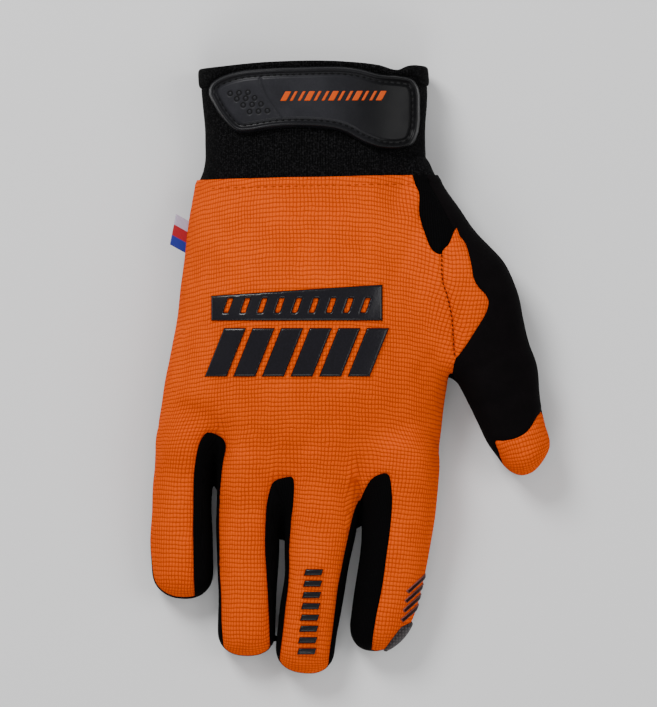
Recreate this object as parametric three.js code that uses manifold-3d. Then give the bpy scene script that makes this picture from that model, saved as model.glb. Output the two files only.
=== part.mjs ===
// A right-hand motocross glove, lying palm down on a surface, in millimetres.
// +Z is up, the fingers point along -Y, the thumb lies on the +X side.
// The origin is on the palm's flat underside, under the middle of the hand.
import * as THREE from "three";
import { mergeVertices } from "three/addons/utils/BufferGeometryUtils.js";
import Module from "manifold-3d";

const wasm = await Module();
wasm.setup();

// Driving dimensions
const wall = 1.6; // thickness of the cloth and the synthetic leather
const seamGap = 0.3; // clearance between two panels that are sewn together
const seatGap = 0.3; // clearance between the shell and what is fixed on it
const hand = { width: 103, length: 172, height: 33, waist: 0.36 };
const originShare = 0.49; // part of hand.length that lies behind the origin, towards the cuff
const cuff = { length: 40.4, bindingWidth: 7, bindingProud: 0.9 };
const strap = { length: 76, width: 26, base: 1.7, groove: 1.5, padHeight: 0.8 };
const rim = { height: 1.1, width: 2.1 }; // the strap's raised edge
const tabLine = { width: 0.8, depth: 0.6 }; // the line that sets the pull tab off
const print = { thickness: 0.6, width: 61.5, barLeft: 9, barRight: 13, blockHeight: 17.4, bandGap: 2.6 };
const slots = { count: 9, width: 1.7, height: 5, slant: 0.35 };
const blocks = { count: 6, gap: 2.3, slant: 0.4 };
const fingerBars = { count: 8, length: 6.4, width: 2.3, pitch: 4.1, slant: 0.3 };
const stripes = { count: 4, width: 1.5, pitch: 3.5 };
const patch = { thickness: 0.7 };
const tag = { length: 11.2, proud: 4.1, sewnIn: 4, thickness: 1.2, tilt: 29, slope: -0.2, height: 11 };
const cutDepth = 80; // how far a cutting prism reaches
const ringPitch = 14; // distance between the rings of points along a digit
const insetPitch = 0.4; // the longest step by which an outline is moved inwards

// Sections of the hand from the cuff's mouth to the finger webs.
// at: share of hand.length; left, right: shares of hand.width; top: share of hand.height.
const handSections = [
  { at: -0.03, left: -0.385, right: 0.407, top: 0.79 },
  { at: 0.0, left: -0.384, right: 0.408, top: 0.8 },
  { at: 0.05, left: -0.381, right: 0.411, top: 0.81 },
  { at: 0.155, left: -0.367, right: 0.404, top: 0.8 },
  { at: 0.213, left: -0.373, right: 0.408, top: 0.82 },
  { at: 0.243, left: -0.396, right: 0.412, top: 0.86 },
  { at: 0.297, left: -0.417, right: 0.422, top: 0.9 },
  { at: 0.398, left: -0.439, right: 0.444, top: 0.95 },
  { at: 0.498, left: -0.458, right: 0.466, top: 0.99 },
  { at: 0.599, left: -0.485, right: 0.487, top: 1.0 },
  { at: 0.666, left: -0.509, right: 0.48, top: 0.98 },
  { at: 0.733, left: -0.524, right: 0.465, top: 0.91 },
  { at: 0.8, left: -0.532, right: 0.452, top: 0.79 },
  { at: 0.867, left: -0.53, right: 0.44, top: 0.64 },
  { at: 1.0, left: -0.53, right: 0.43, top: 0.4 },
];

// Digits. root: across as a share of hand.width, along as a share of hand.length. lean: degrees from -Y.
// Sections. at: share of the digit's length; left, right: shares of its width;
// top, lift: the height of its back and of its underside, as shares of its height.
// Seams: the edges of the coloured back panel. at as above; offset: share of the width.
const pinky = {
  root: { across: -0.426, along: 0.699 },
  lean: -2.3,
  length: 72,
  width: 22,
  height: 16.5,
  tipRound: 9,
  sections: [
    { at: 0.0, left: -0.36, right: 0.38, top: 1.25, lift: 0 },
    { at: 0.16, left: -0.44, right: 0.44, top: 1.42, lift: 0 },
    { at: 0.24, left: -0.48, right: 0.45, top: 1.4, lift: 0.02 },
    { at: 0.4, left: -0.52, right: 0.46, top: 1.22, lift: 0.08 },
    { at: 0.56, left: -0.53, right: 0.46, top: 1.1, lift: 0.12 },
    { at: 0.72, left: -0.54, right: 0.5, top: 1.02, lift: 0.08 },
    { at: 0.84, left: -0.5, right: 0.52, top: 0.94, lift: 0.02 },
    { at: 1.0, left: -0.41, right: 0.5, top: 0.8, lift: 0 },
  ],
  seams: {
    right: [
      { at: 0.205, offset: 0.24 },
      { at: 0.28, offset: 0.185 },
      { at: 0.56, offset: 0.165 },
      { at: 0.84, offset: 0.205 },
      { at: 1.0, offset: 0.24 },
    ],
  },
};
const ring = {
  root: { across: -0.21, along: 0.762 },
  lean: -1,
  length: 82,
  width: 22,
  height: 18,
  tipRound: 9,
  sections: [
    { at: 0.0, left: -0.44, right: 0.42, top: 1.5, lift: 0 },
    { at: 0.08, left: -0.48, right: 0.48, top: 1.48, lift: 0 },
    { at: 0.22, left: -0.53, right: 0.52, top: 1.34, lift: 0.04 },
    { at: 0.36, left: -0.53, right: 0.53, top: 1.18, lift: 0.1 },
    { at: 0.5, left: -0.52, right: 0.52, top: 1.1, lift: 0.14 },
    { at: 0.64, left: -0.49, right: 0.5, top: 1.04, lift: 0.11 },
    { at: 0.78, left: -0.47, right: 0.48, top: 0.97, lift: 0.05 },
    { at: 1.0, left: -0.47, right: 0.47, top: 0.8, lift: 0 },
  ],
  seams: {
    left: [
      { at: 0.057, offset: -0.42 },
      { at: 0.11, offset: -0.42 },
      { at: 0.17, offset: -0.455 },
      { at: 0.25, offset: -0.49 },
      { at: 0.36, offset: -0.5 },
      { at: 0.5, offset: -0.49 },
      { at: 0.78, offset: -0.435 },
      { at: 1.0, offset: -0.38 },
    ],
    right: [
      { at: 0.235, offset: 0.39 },
      { at: 0.275, offset: 0.335 },
      { at: 0.36, offset: 0.305 },
      { at: 0.5, offset: 0.29 },
      { at: 0.64, offset: 0.33 },
      { at: 0.78, offset: 0.375 },
      { at: 1.0, offset: 0.41 },
    ],
  },
};
const middle = {
  root: { across: 0.052, along: 0.762 },
  lean: -5,
  length: 88.5,
  width: 23,
  height: 18.5,
  tipRound: 9.5,
  sections: [
    { at: 0.0, left: -0.5, right: 0.52, top: 1.52, lift: 0 },
    { at: 0.07, left: -0.56, right: 0.56, top: 1.48, lift: 0 },
    { at: 0.21, left: -0.57, right: 0.64, top: 1.32, lift: 0.04 },
    { at: 0.34, left: -0.53, right: 0.65, top: 1.18, lift: 0.1 },
    { at: 0.47, left: -0.48, right: 0.6, top: 1.1, lift: 0.14 },
    { at: 0.6, left: -0.43, right: 0.55, top: 1.05, lift: 0.12 },
    { at: 0.73, left: -0.46, right: 0.51, top: 0.99, lift: 0.07 },
    { at: 0.85, left: -0.47, right: 0.47, top: 0.91, lift: 0.02 },
    { at: 1.0, left: -0.45, right: 0.46, top: 0.78, lift: 0 },
  ],
  seams: {
    left: [
      { at: 0.21, offset: -0.43 },
      { at: 0.245, offset: -0.4 },
      { at: 0.33, offset: -0.41 },
      { at: 0.42, offset: -0.425 },
      { at: 0.62, offset: -0.375 },
      { at: 0.82, offset: -0.395 },
      { at: 1.0, offset: -0.4 },
    ],
    right: [
      { at: 0.193, offset: 0.76 },
      { at: 0.245, offset: 0.68 },
      { at: 0.33, offset: 0.59 },
      { at: 0.42, offset: 0.52 },
      { at: 0.52, offset: 0.49 },
      { at: 0.62, offset: 0.44 },
      { at: 0.82, offset: 0.415 },
      { at: 1.0, offset: 0.38 },
    ],
  },
};
const index = {
  root: { across: 0.321, along: 0.762 },
  lean: -5.6,
  length: 80.8,
  width: 25,
  height: 19,
  tipRound: 10.5,
  sections: [
    { at: 0.0, left: -0.48, right: 0.44, top: 1.3, lift: 0 },
    { at: 0.08, left: -0.52, right: 0.54, top: 1.38, lift: 0 },
    { at: 0.23, left: -0.5, right: 0.6, top: 1.3, lift: 0.04 },
    { at: 0.37, left: -0.47, right: 0.605, top: 1.16, lift: 0.1 },
    { at: 0.51, left: -0.42, right: 0.58, top: 1.09, lift: 0.13 },
    { at: 0.66, left: -0.44, right: 0.525, top: 1.03, lift: 0.1 },
    { at: 0.8, left: -0.46, right: 0.465, top: 0.95, lift: 0.04 },
    { at: 1.0, left: -0.47, right: 0.22, top: 0.78, lift: 0 },
  ],
  seams: {
    left: [
      { at: 0.21, offset: -0.12 },
      { at: 0.285, offset: -0.055 },
      { at: 0.38, offset: -0.03 },
      { at: 0.55, offset: -0.042 },
      { at: 0.72, offset: -0.065 },
      { at: 0.88, offset: -0.115 },
      { at: 1.0, offset: -0.12 },
    ],
  },
};
const thumb = {
  root: { across: 0.454, along: 0.238 },
  lean: 17.1,
  length: 111,
  width: 27,
  height: 24,
  tipRound: 8,
  sections: [
    { at: -0.1, left: -0.5, right: -0.09, top: 0.9, lift: 0 },
    { at: 0.0, left: -0.6, right: 0.0, top: 1.0, lift: 0 },
    { at: 0.1, left: -0.65, right: 0.13, top: 1.08, lift: 0 },
    { at: 0.2, left: -0.7, right: 0.26, top: 1.16, lift: 0 },
    { at: 0.32, left: -0.72, right: 0.505, top: 1.22, lift: 0 },
    { at: 0.4, left: -0.7, right: 0.555, top: 1.2, lift: 0 },
    { at: 0.52, left: -0.66, right: 0.515, top: 1.12, lift: 0 },
    { at: 0.6, left: -0.61, right: 0.5, top: 1.07, lift: 0.02 },
    { at: 0.66, left: -0.56, right: 0.52, top: 1.03, lift: 0.03 },
    { at: 0.78, left: -0.48, right: 0.425, top: 0.96, lift: 0.02 },
    { at: 0.86, left: -0.42, right: 0.385, top: 0.9, lift: 0 },
    { at: 0.93, left: -0.33, right: 0.37, top: 0.84, lift: 0 },
    { at: 1.0, left: -0.26, right: 0.19, top: 0.76, lift: 0 },
  ],
};
const digits = [pinky, ring, middle, index, thumb];

// Crotches between fingers. across: share of hand.width; back, web: shares of hand.length, where the opening
// starts on the back of the hand and where the web ends at the palm.
const crotches = [
  { across: -0.352, back: 0.768, web: 0.879, digits: [pinky, ring] },
  { across: -0.096, back: 0.864, web: 0.998, digits: [ring, middle] },
  { across: 0.246, back: 0.854, web: 0.956, digits: [middle, index] },
];
const webEnds = { left: { across: -0.6, web: 0.84 }, right: { across: 0.5, web: 0.9 } };

// Height of the seam round the palm. at: share of hand.length; height: share of hand.height.
const palmSeam = [
  { at: 0.2, height: 0.3 },
  { at: 0.6, height: 0.29 },
  { at: 0.9, height: 0.25 },
  { at: 1.1, height: 0.245 },
  { at: 1.3, height: 0.21 },
];

// Edges that run across the glove. across: share of hand.width; rise: share of cuff.length.
const mouthEdge = [
  { across: -0.5, rise: -0.05 },
  { across: -0.36, rise: -0.02 },
  { across: -0.12, rise: 0.03 },
  { across: 0.12, rise: 0.03 },
  { across: 0.24, rise: 0.0 },
  { across: 0.31, rise: -0.04 },
  { across: 0.35, rise: 0.0 },
  { across: 0.4, rise: 0.0 },
  { across: 0.5, rise: -0.06 },
];
const hemEdge = [
  { across: -1.0, rise: -0.02 },
  { across: -0.4, rise: -0.02 },
  { across: 0.0, rise: 0.0 },
  { across: 0.36, rise: 0.02 },
  { across: 1.0, rise: 0.02 },
];

// Outlines of the panels on the thumb's side, seen from above.
// across: share of hand.width; along: share of hand.length, from the cuff's mouth.
const wristGusset = [
  { across: 0.364, along: 0.2 },
  { across: 0.364, along: 0.243 },
  { across: 0.38, along: 0.268 },
  { across: 0.381, along: 0.31 },
  { across: 0.4, along: 0.352 },
  { across: 0.424, along: 0.386 },
  { across: 0.459, along: 0.395 },
  { across: 0.487, along: 0.376 },
  { across: 0.54, along: 0.34 },
  { across: 0.54, along: 0.2 },
];
const thumbGusset = [
  { across: 0.459, along: 0.393 },
  { across: 0.461, along: 0.448 },
  { across: 0.478, along: 0.484 },
  { across: 0.494, along: 0.528 },
  { across: 0.5, along: 0.575 },
  { across: 0.505, along: 0.612 },
  { across: 0.535, along: 0.592 },
  { across: 0.574, along: 0.557 },
  { across: 0.607, along: 0.526 },
  { across: 0.62, along: 0.508 },
  { across: 0.623, along: 0.493 },
  { across: 0.61, along: 0.478 },
  { across: 0.587, along: 0.464 },
  { across: 0.57, along: 0.444 },
  { across: 0.562, along: 0.414 },
  { across: 0.546, along: 0.374 },
  { across: 0.527, along: 0.357 },
  { across: 0.511, along: 0.341 },
  { across: 0.485, along: 0.373 },
];
// Edge of the thumb's own panel, from the wrist to the crotch beside the index finger.
const thumbPanelEdge = [
  { across: 0.385, along: 0.2 },
  { across: 0.416, along: 0.243 },
  { across: 0.455, along: 0.285 },
  { across: 0.49, along: 0.326 },
  { across: 0.515, along: 0.36 },
  { across: 0.52, along: 0.45 },
  { across: 0.524, along: 0.58 },
  { across: 0.499, along: 0.635 },
  { across: 0.49, along: 0.76 },
  { across: 0.55, along: 0.9 },
];
// Edge of the thumb tip's panel. at: share of the thumb's length; offset: share of its width.
const thumbTipEdge = [
  { at: 0.8, offset: 0.7 },
  { at: 0.82, offset: 0.38 },
  { at: 0.861, offset: 0.16 },
  { at: 0.875, offset: -0.03 },
  { at: 0.872, offset: -0.22 },
  { at: 0.866, offset: -0.33 },
  { at: 0.91, offset: -0.33 },
  { at: 0.96, offset: -0.36 },
  { at: 1.0, offset: -0.7 },
];
// Outline of the silicone patch on the index finger's tip, in the same shares of that finger.
const patchEdge = [
  { at: 0.875, offset: 0.27 },
  { at: 0.8, offset: 0.7 },
  { at: 1.2, offset: 0.7 },
  { at: 1.2, offset: 0.05 },
  { at: 0.99, offset: 0.05 },
  { at: 0.94, offset: 0.14 },
];
// Edges of the closing strap, from the pull tab's end.
// along: share of strap.length; high, low: shares of strap.width.
const strapEdges = [
  { along: 0.0, high: 0.03, low: -0.06 },
  { along: 0.015, high: 0.11, low: -0.15 },
  { along: 0.05, high: 0.18, low: -0.33 },
  { along: 0.1, high: 0.235, low: -0.51 },
  { along: 0.14, high: 0.262, low: -0.585 },
  { along: 0.19, high: 0.285, low: -0.588 },
  { along: 0.31, high: 0.308, low: -0.535 },
  { along: 0.43, high: 0.318, low: -0.518 },
  { along: 0.56, high: 0.328, low: -0.54 },
  { along: 0.64, high: 0.322, low: -0.595 },
  { along: 0.72, high: 0.29, low: -0.72 },
  { along: 0.81, high: 0.225, low: -0.815 },
  { along: 0.9, high: 0.205, low: -0.825 },
  { along: 0.96, high: 0.17, low: -0.76 },
  { along: 0.99, high: 0.06, low: -0.6 },
  { along: 1.0, high: -0.08, low: -0.4 },
];
// The line across the strap's pad, in the same shares.
const tabLinePath = [
  { along: 0.243, offset: 0.2 },
  { along: 0.251, offset: 0.055 },
  { along: 0.28, offset: -0.125 },
  { along: 0.341, offset: -0.38 },
];
const strapPlace = { across: -0.353, along: 0.0526 }; // where the pull tab's end lies
const barPlace = { across: -0.045, along: 0.534 }; // the middle of the printed bar's lower edge
const fingerBarStart = { at: 0.58, offset: 0.02 }; // the first bar on the middle finger
// A stripe on the index finger, from its inner to its outer end. Each next one starts further out by step.
const stripeEnds = { inner: { at: 0.718, offset: 0.31 }, outer: { at: 0.555, offset: 0.78 }, step: -0.014 };
const tagPlace = { across: -0.415, along: 0.363 }; // the middle of the tag's sewn edge

// Colours
const orange = new THREE.MeshStandardMaterial({ color: 0xf4650f, roughness: 0.85, metalness: 0 });
const suede = new THREE.MeshStandardMaterial({ color: 0x0c0b0d, roughness: 0.9, metalness: 0 });
const stretch = new THREE.MeshStandardMaterial({ color: 0x111013, roughness: 0.85, metalness: 0 });
const knit = new THREE.MeshStandardMaterial({ color: 0x121214, roughness: 0.9, metalness: 0 });
const rubber = new THREE.MeshStandardMaterial({ color: 0x26262b, roughness: 0.42, metalness: 0 });
const gloss = new THREE.MeshStandardMaterial({ color: 0x0c0b12, roughness: 0.25, metalness: 0 });
const silicone = new THREE.MeshStandardMaterial({ color: 0x4a3030, roughness: 0.4, metalness: 0 });
const ribbon = new THREE.MeshStandardMaterial({ color: 0xb9b4c4, roughness: 0.7, metalness: 0 });

// Tables

// The rows of a table as a smooth function of one column, giving every other column.
function profile(rows, key = "at") {
  const columns = Object.keys(rows[0]).filter((name) => name !== key);
  const values = rows.flatMap((row) => columns.map((name) => row[name]));
  const curve = new THREE.CubicInterpolant(rows.map((row) => row[key]), values, columns.length);
  return (at) => {
    const found = curve.evaluate(at);
    return Object.fromEntries(columns.map((name, i) => [name, found[i]]));
  };
}

// A point of the plan from shares of the hand's width and length.
function handPoint({ across, along }) {
  return new THREE.Vector2(across * hand.width, (originShare - along) * hand.length);
}

// The plan's axes of a digit, from its root to its tip.
function digitAxes(digit) {
  const lean = THREE.MathUtils.degToRad(digit.lean);
  return {
    root: handPoint(digit.root),
    forward: new THREE.Vector2(Math.sin(lean), -Math.cos(lean)),
    side: new THREE.Vector2(Math.cos(lean), Math.sin(lean)),
  };
}

// A point of the plan at a share of a digit's length and a share of its width.
function digitPoint(digit, at, offset) {
  const { root, forward, side } = digitAxes(digit);
  return root.clone().addScaledVector(forward, at * digit.length).addScaledVector(side, offset * digit.width);
}

// Solids

// A closed geometry as a solid that can be joined and cut.
function solid(geometry) {
  const bare = geometry.clone();
  for (const name of ["normal", "uv"]) bare.deleteAttribute(name);
  const merged = mergeVertices(bare, 1e-4);
  const vertProperties = new Float32Array(merged.attributes.position.array);
  const triVerts = new Uint32Array(merged.index.array);
  return new wasm.Manifold(new wasm.Mesh({ numProp: 3, vertProperties, triVerts }));
}

// A solid as a named mesh.
function named(name, body, material) {
  const { vertProperties, triVerts } = body.getMesh();
  const geometry = new THREE.BufferGeometry();
  geometry.setAttribute("position", new THREE.BufferAttribute(vertProperties, 3));
  geometry.setIndex(new THREE.BufferAttribute(triVerts, 1));
  geometry.computeVertexNormals();
  const mesh = new THREE.Mesh(geometry, material);
  mesh.name = name;
  return mesh;
}

// A closed skin over rings of points, with a flat cap on each end.
function skin(rings) {
  const count = rings[0].length;
  const points = rings.flat();
  const faces = [];
  rings.slice(1).forEach((_, r) => {
    for (let i = 0; i < count; i++) {
      const [a, b] = [r * count + i, r * count + ((i + 1) % count)];
      faces.push(a, b, b + count, a, b + count, a + count);
    }
  });
  const last = points.length - count;
  for (let i = 1; i < count - 1; i++) {
    faces.push(0, i + 1, i);
    faces.push(last, last + i, last + i + 1);
  }
  const geometry = new THREE.BufferGeometry().setFromPoints(points);
  geometry.setIndex(faces);
  return geometry;
}

// One closed cross-section: a dome over a waist, on an underside that is flat where it rests.
function section({ left, right, top, lift }, waistShare, grow, count) {
  const domePower = 2.35;
  const underPower = 2.9;
  const sag = 0.12; // how far the underside would hang below the surface that flattens it
  const waist = lift + (top - lift) * waistShare;
  const half = Math.max((right - left) / 2 + grow, 0.05);
  const rise = Math.max(top - waist + grow, 0.05);
  const fall = Math.max((waist - lift) * (1 + sag) + grow, 0.05);
  return Array.from({ length: count }, (_, i) => {
    const angle = (2 * Math.PI * i) / count;
    const [c, s] = [Math.cos(angle), Math.sin(angle)];
    const power = 2 / (s > 0 ? domePower : underPower);
    const x = (left + right) / 2 + half * Math.sign(c) * Math.abs(c) ** power;
    const z = waist + (s > 0 ? rise : fall) * Math.sign(s) * Math.abs(s) ** power;
    return new THREE.Vector2(x, Math.max(z, -grow, 0));
  });
}

// The palm and the back of the hand as one tube, from outside the cuff's mouth to past the finger webs.
function handTube(grow) {
  const rings = 11;
  const ringPoints = grow < 0 ? 18 : 26;
  const start = handSections[0].at;
  const end = handSections.at(-1).at;
  const shape = profile(handSections);
  return skin(Array.from({ length: rings }, (_, i) => {
    const at = start + ((end - start) * i) / (rings - 1);
    const share = shape(at);
    const outline = {
      left: share.left * hand.width,
      right: share.right * hand.width,
      top: share.top * hand.height,
      lift: 0,
    };
    const { y } = handPoint({ across: 0, along: at });
    return section(outline, hand.waist, grow, ringPoints).map((p) => new THREE.Vector3(p.x, y, p.y));
  }));
}

// One digit as a tube with a rounded tip.
function digitTube(digit, grow) {
  const tipRings = 3;
  const ringPoints = grow < 0 ? 10 : 12;
  const waistShare = 0.42;
  const tipPower = 2.3;
  const shape = profile(digit.sections);
  const { root, forward, side } = digitAxes(digit);
  const start = digit.sections[0].at;
  const tipStart = 1 - digit.tipRound / digit.length;
  const reach = (digit.tipRound + grow) / digit.length;
  const straightRings = Math.ceil(((tipStart - start) * digit.length) / ringPitch);
  const straight = Array.from({ length: straightRings }, (_, i) => [
    start + ((tipStart - start) * i) / straightRings, 0]);
  const tip = Array.from({ length: tipRings + 1 }, (_, i) => {
    const turn = Math.sin((Math.PI / 2) * (i / tipRings));
    return [tipStart + reach * turn, turn];
  });
  return skin([...straight, ...tip].map(([at, turn]) => {
    const share = shape(Math.min(at, 1));
    const round = (1 - turn ** tipPower) ** (1 / tipPower);
    const waist = digit.height * (share.lift + (share.top - share.lift) * waistShare);
    const towards = (edge) => waist + (edge * digit.height - waist) * round;
    const outline = {
      left: share.left * digit.width * round,
      right: share.right * digit.width * round,
      top: towards(share.top),
      lift: towards(share.lift),
    };
    const ringShape = section(outline, waistShare, grow * Math.max(round, 0.05), ringPoints);
    return ringShape.map((p) => {
      const plan = root.clone().addScaledVector(forward, at * digit.length).addScaledVector(side, p.x);
      return new THREE.Vector3(plan.x, plan.y, p.y);
    });
  }));
}

// A prism that stands on a closed outline of the plan, between two heights.
function prism(outline, low = -cutDepth / 4, high = cutDepth) {
  const counterClockwise = THREE.ShapeUtils.area(outline) > 0 ? outline : [...outline].reverse();
  const geometry = new THREE.ExtrudeGeometry(new THREE.Shape(counterClockwise), {
    depth: high - low,
    bevelEnabled: false,
  });
  return geometry.translate(0, 0, low);
}

// A smooth open line through points of the plan.
function smooth(points, divisions) {
  return new THREE.SplineCurve(points).getPoints(divisions);
}

// How far a point of the plan lies from a closed outline.
function distanceTo(outline, point) {
  const nearest = new THREE.Vector3();
  const at = new THREE.Vector3(point.x, point.y, 0);
  return Math.min(...outline.map((end, i) => {
    const start = outline.at(i - 1);
    const edge = new THREE.Line3(new THREE.Vector3(start.x, start.y, 0), new THREE.Vector3(end.x, end.y, 0));
    return edge.closestPointToPoint(at, true, nearest).distanceTo(at);
  }));
}

// A closed outline moved inwards by one short step.
// In a tight corner the points that would come too close are left out.
function insetStep(outline, distance) {
  const nearlyAll = 0.97;
  const turn = Math.sign(THREE.ShapeUtils.area(outline));
  const shifted = outline.map((point, i) => {
    const before = outline.at(i - 1);
    const after = outline[(i + 1) % outline.length];
    const [a, b] = [point.clone().sub(before).normalize(), after.clone().sub(point).normalize()];
    const inward = new THREE.Vector2(-(a.y + b.y), a.x + b.x).multiplyScalar(turn);
    const stretchAtCorner = Math.max(inward.lengthSq() / 2, 0.5);
    return point.clone().addScaledVector(inward, distance / stretchAtCorner);
  });
  return shifted.filter((point) => distanceTo(outline, point) >= Math.abs(distance) * nearlyAll);
}

// A closed outline moved inwards by any distance, or outwards by a negative one.
function inset(outline, distance) {
  const steps = Math.ceil(Math.abs(distance) / insetPitch);
  return Array.from({ length: steps }).reduce((line) => insetStep(line, distance / steps), outline);
}

// The hand without the part past the finger webs.
// The cut leans, because a web starts nearer the cuff on the back.
function trimmedHand(grow) {
  const webLean = 0.95;
  const far = hand.length;
  const ends = [webEnds.left, ...crotches, webEnds.right];
  const outward = new THREE.Vector2(0, -grow);
  const webLine = smooth(ends.map(({ across, web }) => handPoint({ across, along: web }).add(outward)), 24);
  const outline = [
    new THREE.Vector2(webLine.at(-1).x, -far * 2),
    new THREE.Vector2(webLine[0].x, -far * 2),
    ...webLine,
  ];
  const shear = new THREE.Matrix4().makeShear(0, 0, 0, 0, 0, webLean);
  return solid(handTube(grow)).subtract(solid(prism(outline).applyMatrix4(shear)));
}

// The whole glove's outer form, grown outwards or shrunk inwards.
const forms = new Map();
function form(grow) {
  if (!forms.has(grow)) {
    const whole = digits.reduce((made, digit) => made.add(solid(digitTube(digit, grow))), trimmedHand(grow));
    forms.set(grow, whole);
  }
  return forms.get(grow);
}

// Splits a piece off a shell along an outline, and leaves the seam's gap between the two.
function split(shell, outline) {
  return {
    piece: shell.intersect(solid(prism(inset(outline, seamGap)))),
    rest: shell.subtract(solid(prism(outline))),
  };
}

// Panels

// A line across the glove at a share of hand.length, as a smooth row of points.
function acrossLine(edge, along) {
  return smooth(edge.map(({ across, rise }) => {
    const point = handPoint({ across, along });
    return new THREE.Vector2(point.x, point.y + rise * cuff.length);
  }), 16);
}

const cuffShare = cuff.length / hand.length;
const hemLine = acrossLine(hemEdge, cuffShare);
const mouthLine = acrossLine(mouthEdge, 0);
const bindingLine = mouthLine.map((p) => new THREE.Vector2(p.x, p.y - cuff.bindingWidth));
const moved = (line, distance) => line.map((p) => new THREE.Vector2(p.x, p.y + distance));
const band = (low, high) => [...low, ...[...high].reverse()];
const farLine = (line, distance) => line.map((p) => new THREE.Vector2(p.x, distance));

// The prism below the seam round the palm, drawn in the side view and run across the glove.
function underSeam(drop) {
  const heights = profile(palmSeam);
  const first = palmSeam[0].at;
  const last = palmSeam.at(-1).at;
  const steps = 12;
  const line = Array.from({ length: steps + 1 }, (_, i) => {
    const at = first + ((last - first) * i) / steps;
    const { y } = handPoint({ across: 0, along: at });
    return new THREE.Vector2(y, heights(at).height * hand.height - drop);
  });
  const outline = [
    new THREE.Vector2(cutDepth * 2, line[0].y),
    ...line,
    new THREE.Vector2(-cutDepth * 2, line.at(-1).y),
    new THREE.Vector2(-cutDepth * 2, -cutDepth),
    new THREE.Vector2(cutDepth * 2, -cutDepth),
  ];
  const shape = new THREE.Shape(outline.reverse());
  const geometry = new THREE.ExtrudeGeometry(shape, { depth: cutDepth * 4, bevelEnabled: false });
  const sideView = new THREE.Matrix4().makeBasis(
    new THREE.Vector3(0, 1, 0), new THREE.Vector3(0, 0, 1), new THREE.Vector3(1, 0, 0));
  return solid(geometry.applyMatrix4(sideView).translate(-cutDepth * 2, 0, 0));
}

// The outline of a side wall between two fingers: down one finger's seam, past the tips, up the other's.
function fourchetteOutline({ across, back, digits: [one, other] }) {
  const samples = 9;
  const pastTip = 1.3;
  const seam = (digit, side) => {
    const rows = digit.seams[side];
    const shape = profile(rows);
    const start = rows[0].at;
    return Array.from({ length: samples + 1 }, (_, i) => {
      const at = start + ((1 - start) * i) / samples;
      return digitPoint(digit, at, shape(at).offset);
    });
  };
  const [rightOfOne, leftOfOther] = [seam(one, "right"), seam(other, "left")];
  const crown = handPoint({ across, along: back });
  const arch = smooth([rightOfOne[1], rightOfOne[0], crown, leftOfOther[0], leftOfOther[1]], 12);
  return [
    digitPoint(other, pastTip, 0),
    digitPoint(one, pastTip, 0),
    ...rightOfOne.slice(2).reverse(),
    ...arch,
    ...leftOfOther.slice(2),
  ];
}

function thumbTipOutline() {
  const pastTip = 1.4;
  const edge = smooth(thumbTipEdge.map(({ at, offset }) => digitPoint(thumb, at, offset)), 20);
  const beside = [thumbTipEdge.at(-1).offset, thumbTipEdge[0].offset];
  return [...edge, ...beside.map((offset) => digitPoint(thumb, pastTip, offset))];
}

function thumbPanelOutline() {
  const pastThumb = 1.2;
  const edge = smooth(thumbPanelEdge.map(handPoint), 24);
  const ends = [thumbPanelEdge.at(-1).along, thumbPanelEdge[0].along];
  return [...edge, ...ends.map((along) => handPoint({ across: pastThumb, along }))];
}

// A closed smooth outline through the rows of a table.
function closedSmooth(rows) {
  const points = rows.map(handPoint);
  return smooth([...points, points[0]], rows.length * 2).slice(0, -1);
}

// The strap's outline in the plan, moved inwards by a distance.
function strapOutline(distance) {
  const place = handPoint(strapPlace);
  const edge = (side) => strapEdges.map((row) => new THREE.Vector2(
    place.x + row.along * strap.length, place.y + row[side] * strap.width));
  const high = smooth(edge("high"), 15);
  const low = smooth(edge("low"), 15);
  return inset([...low, ...high.reverse()], distance);
}

// A layer that follows the hand's surface between two heights above it, over an outline.
function layer(outline, low, high, from = hand.height * hand.waist) {
  const over = form(high).subtract(form(low));
  return over.intersect(solid(prism(outline, from)));
}

const shell = form(0).subtract(form(-wall));

// The cuff and its binding
const cuffBand = band(moved(hemLine, seamGap), bindingLine);
const cuffBody = shell.intersect(solid(prism(cuffBand)));
// The binding lies flat where the strap covers it.
const underStrap = layer(strapOutline(-seatGap), 0, seatGap + cuff.bindingProud);
const bindingShell = form(cuff.bindingProud).subtract(form(-wall)).subtract(underStrap);
const bindingBody = bindingShell.intersect(solid(prism(band(moved(bindingLine, seamGap), mouthLine))));

// The hand's panels
const handShell = shell.intersect(solid(prism(band(farLine(hemLine, -hand.length * 2), hemLine))));
const palmBody = handShell.intersect(underSeam(seamGap));
let upper = handShell.subtract(underSeam(0));
const fourchetteBodies = crotches.map((crotch) => {
  const { piece, rest } = split(upper, fourchetteOutline(crotch));
  upper = rest;
  return piece;
});
const thumbTip = split(upper, thumbTipOutline());
const thumbSide = split(thumbTip.rest, closedSmooth(thumbGusset));
const thumbPiece = split(thumbSide.rest, thumbPanelOutline());
const wristPiece = split(thumbPiece.rest, closedSmooth(wristGusset));
const backBody = wristPiece.rest;

// The closing strap

// A narrow band along the line that sets the pull tab off.
function tabLineOutline() {
  const place = handPoint(strapPlace);
  const half = new THREE.Vector2(tabLine.width / 2, 0);
  const middleLine = smooth(tabLinePath.map(({ along, offset }) => new THREE.Vector2(
    place.x + along * strap.length, place.y + offset * strap.width)), 5);
  return band(middleLine.map((p) => p.clone().sub(half)), middleLine.map((p) => p.clone().add(half)));
}

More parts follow.
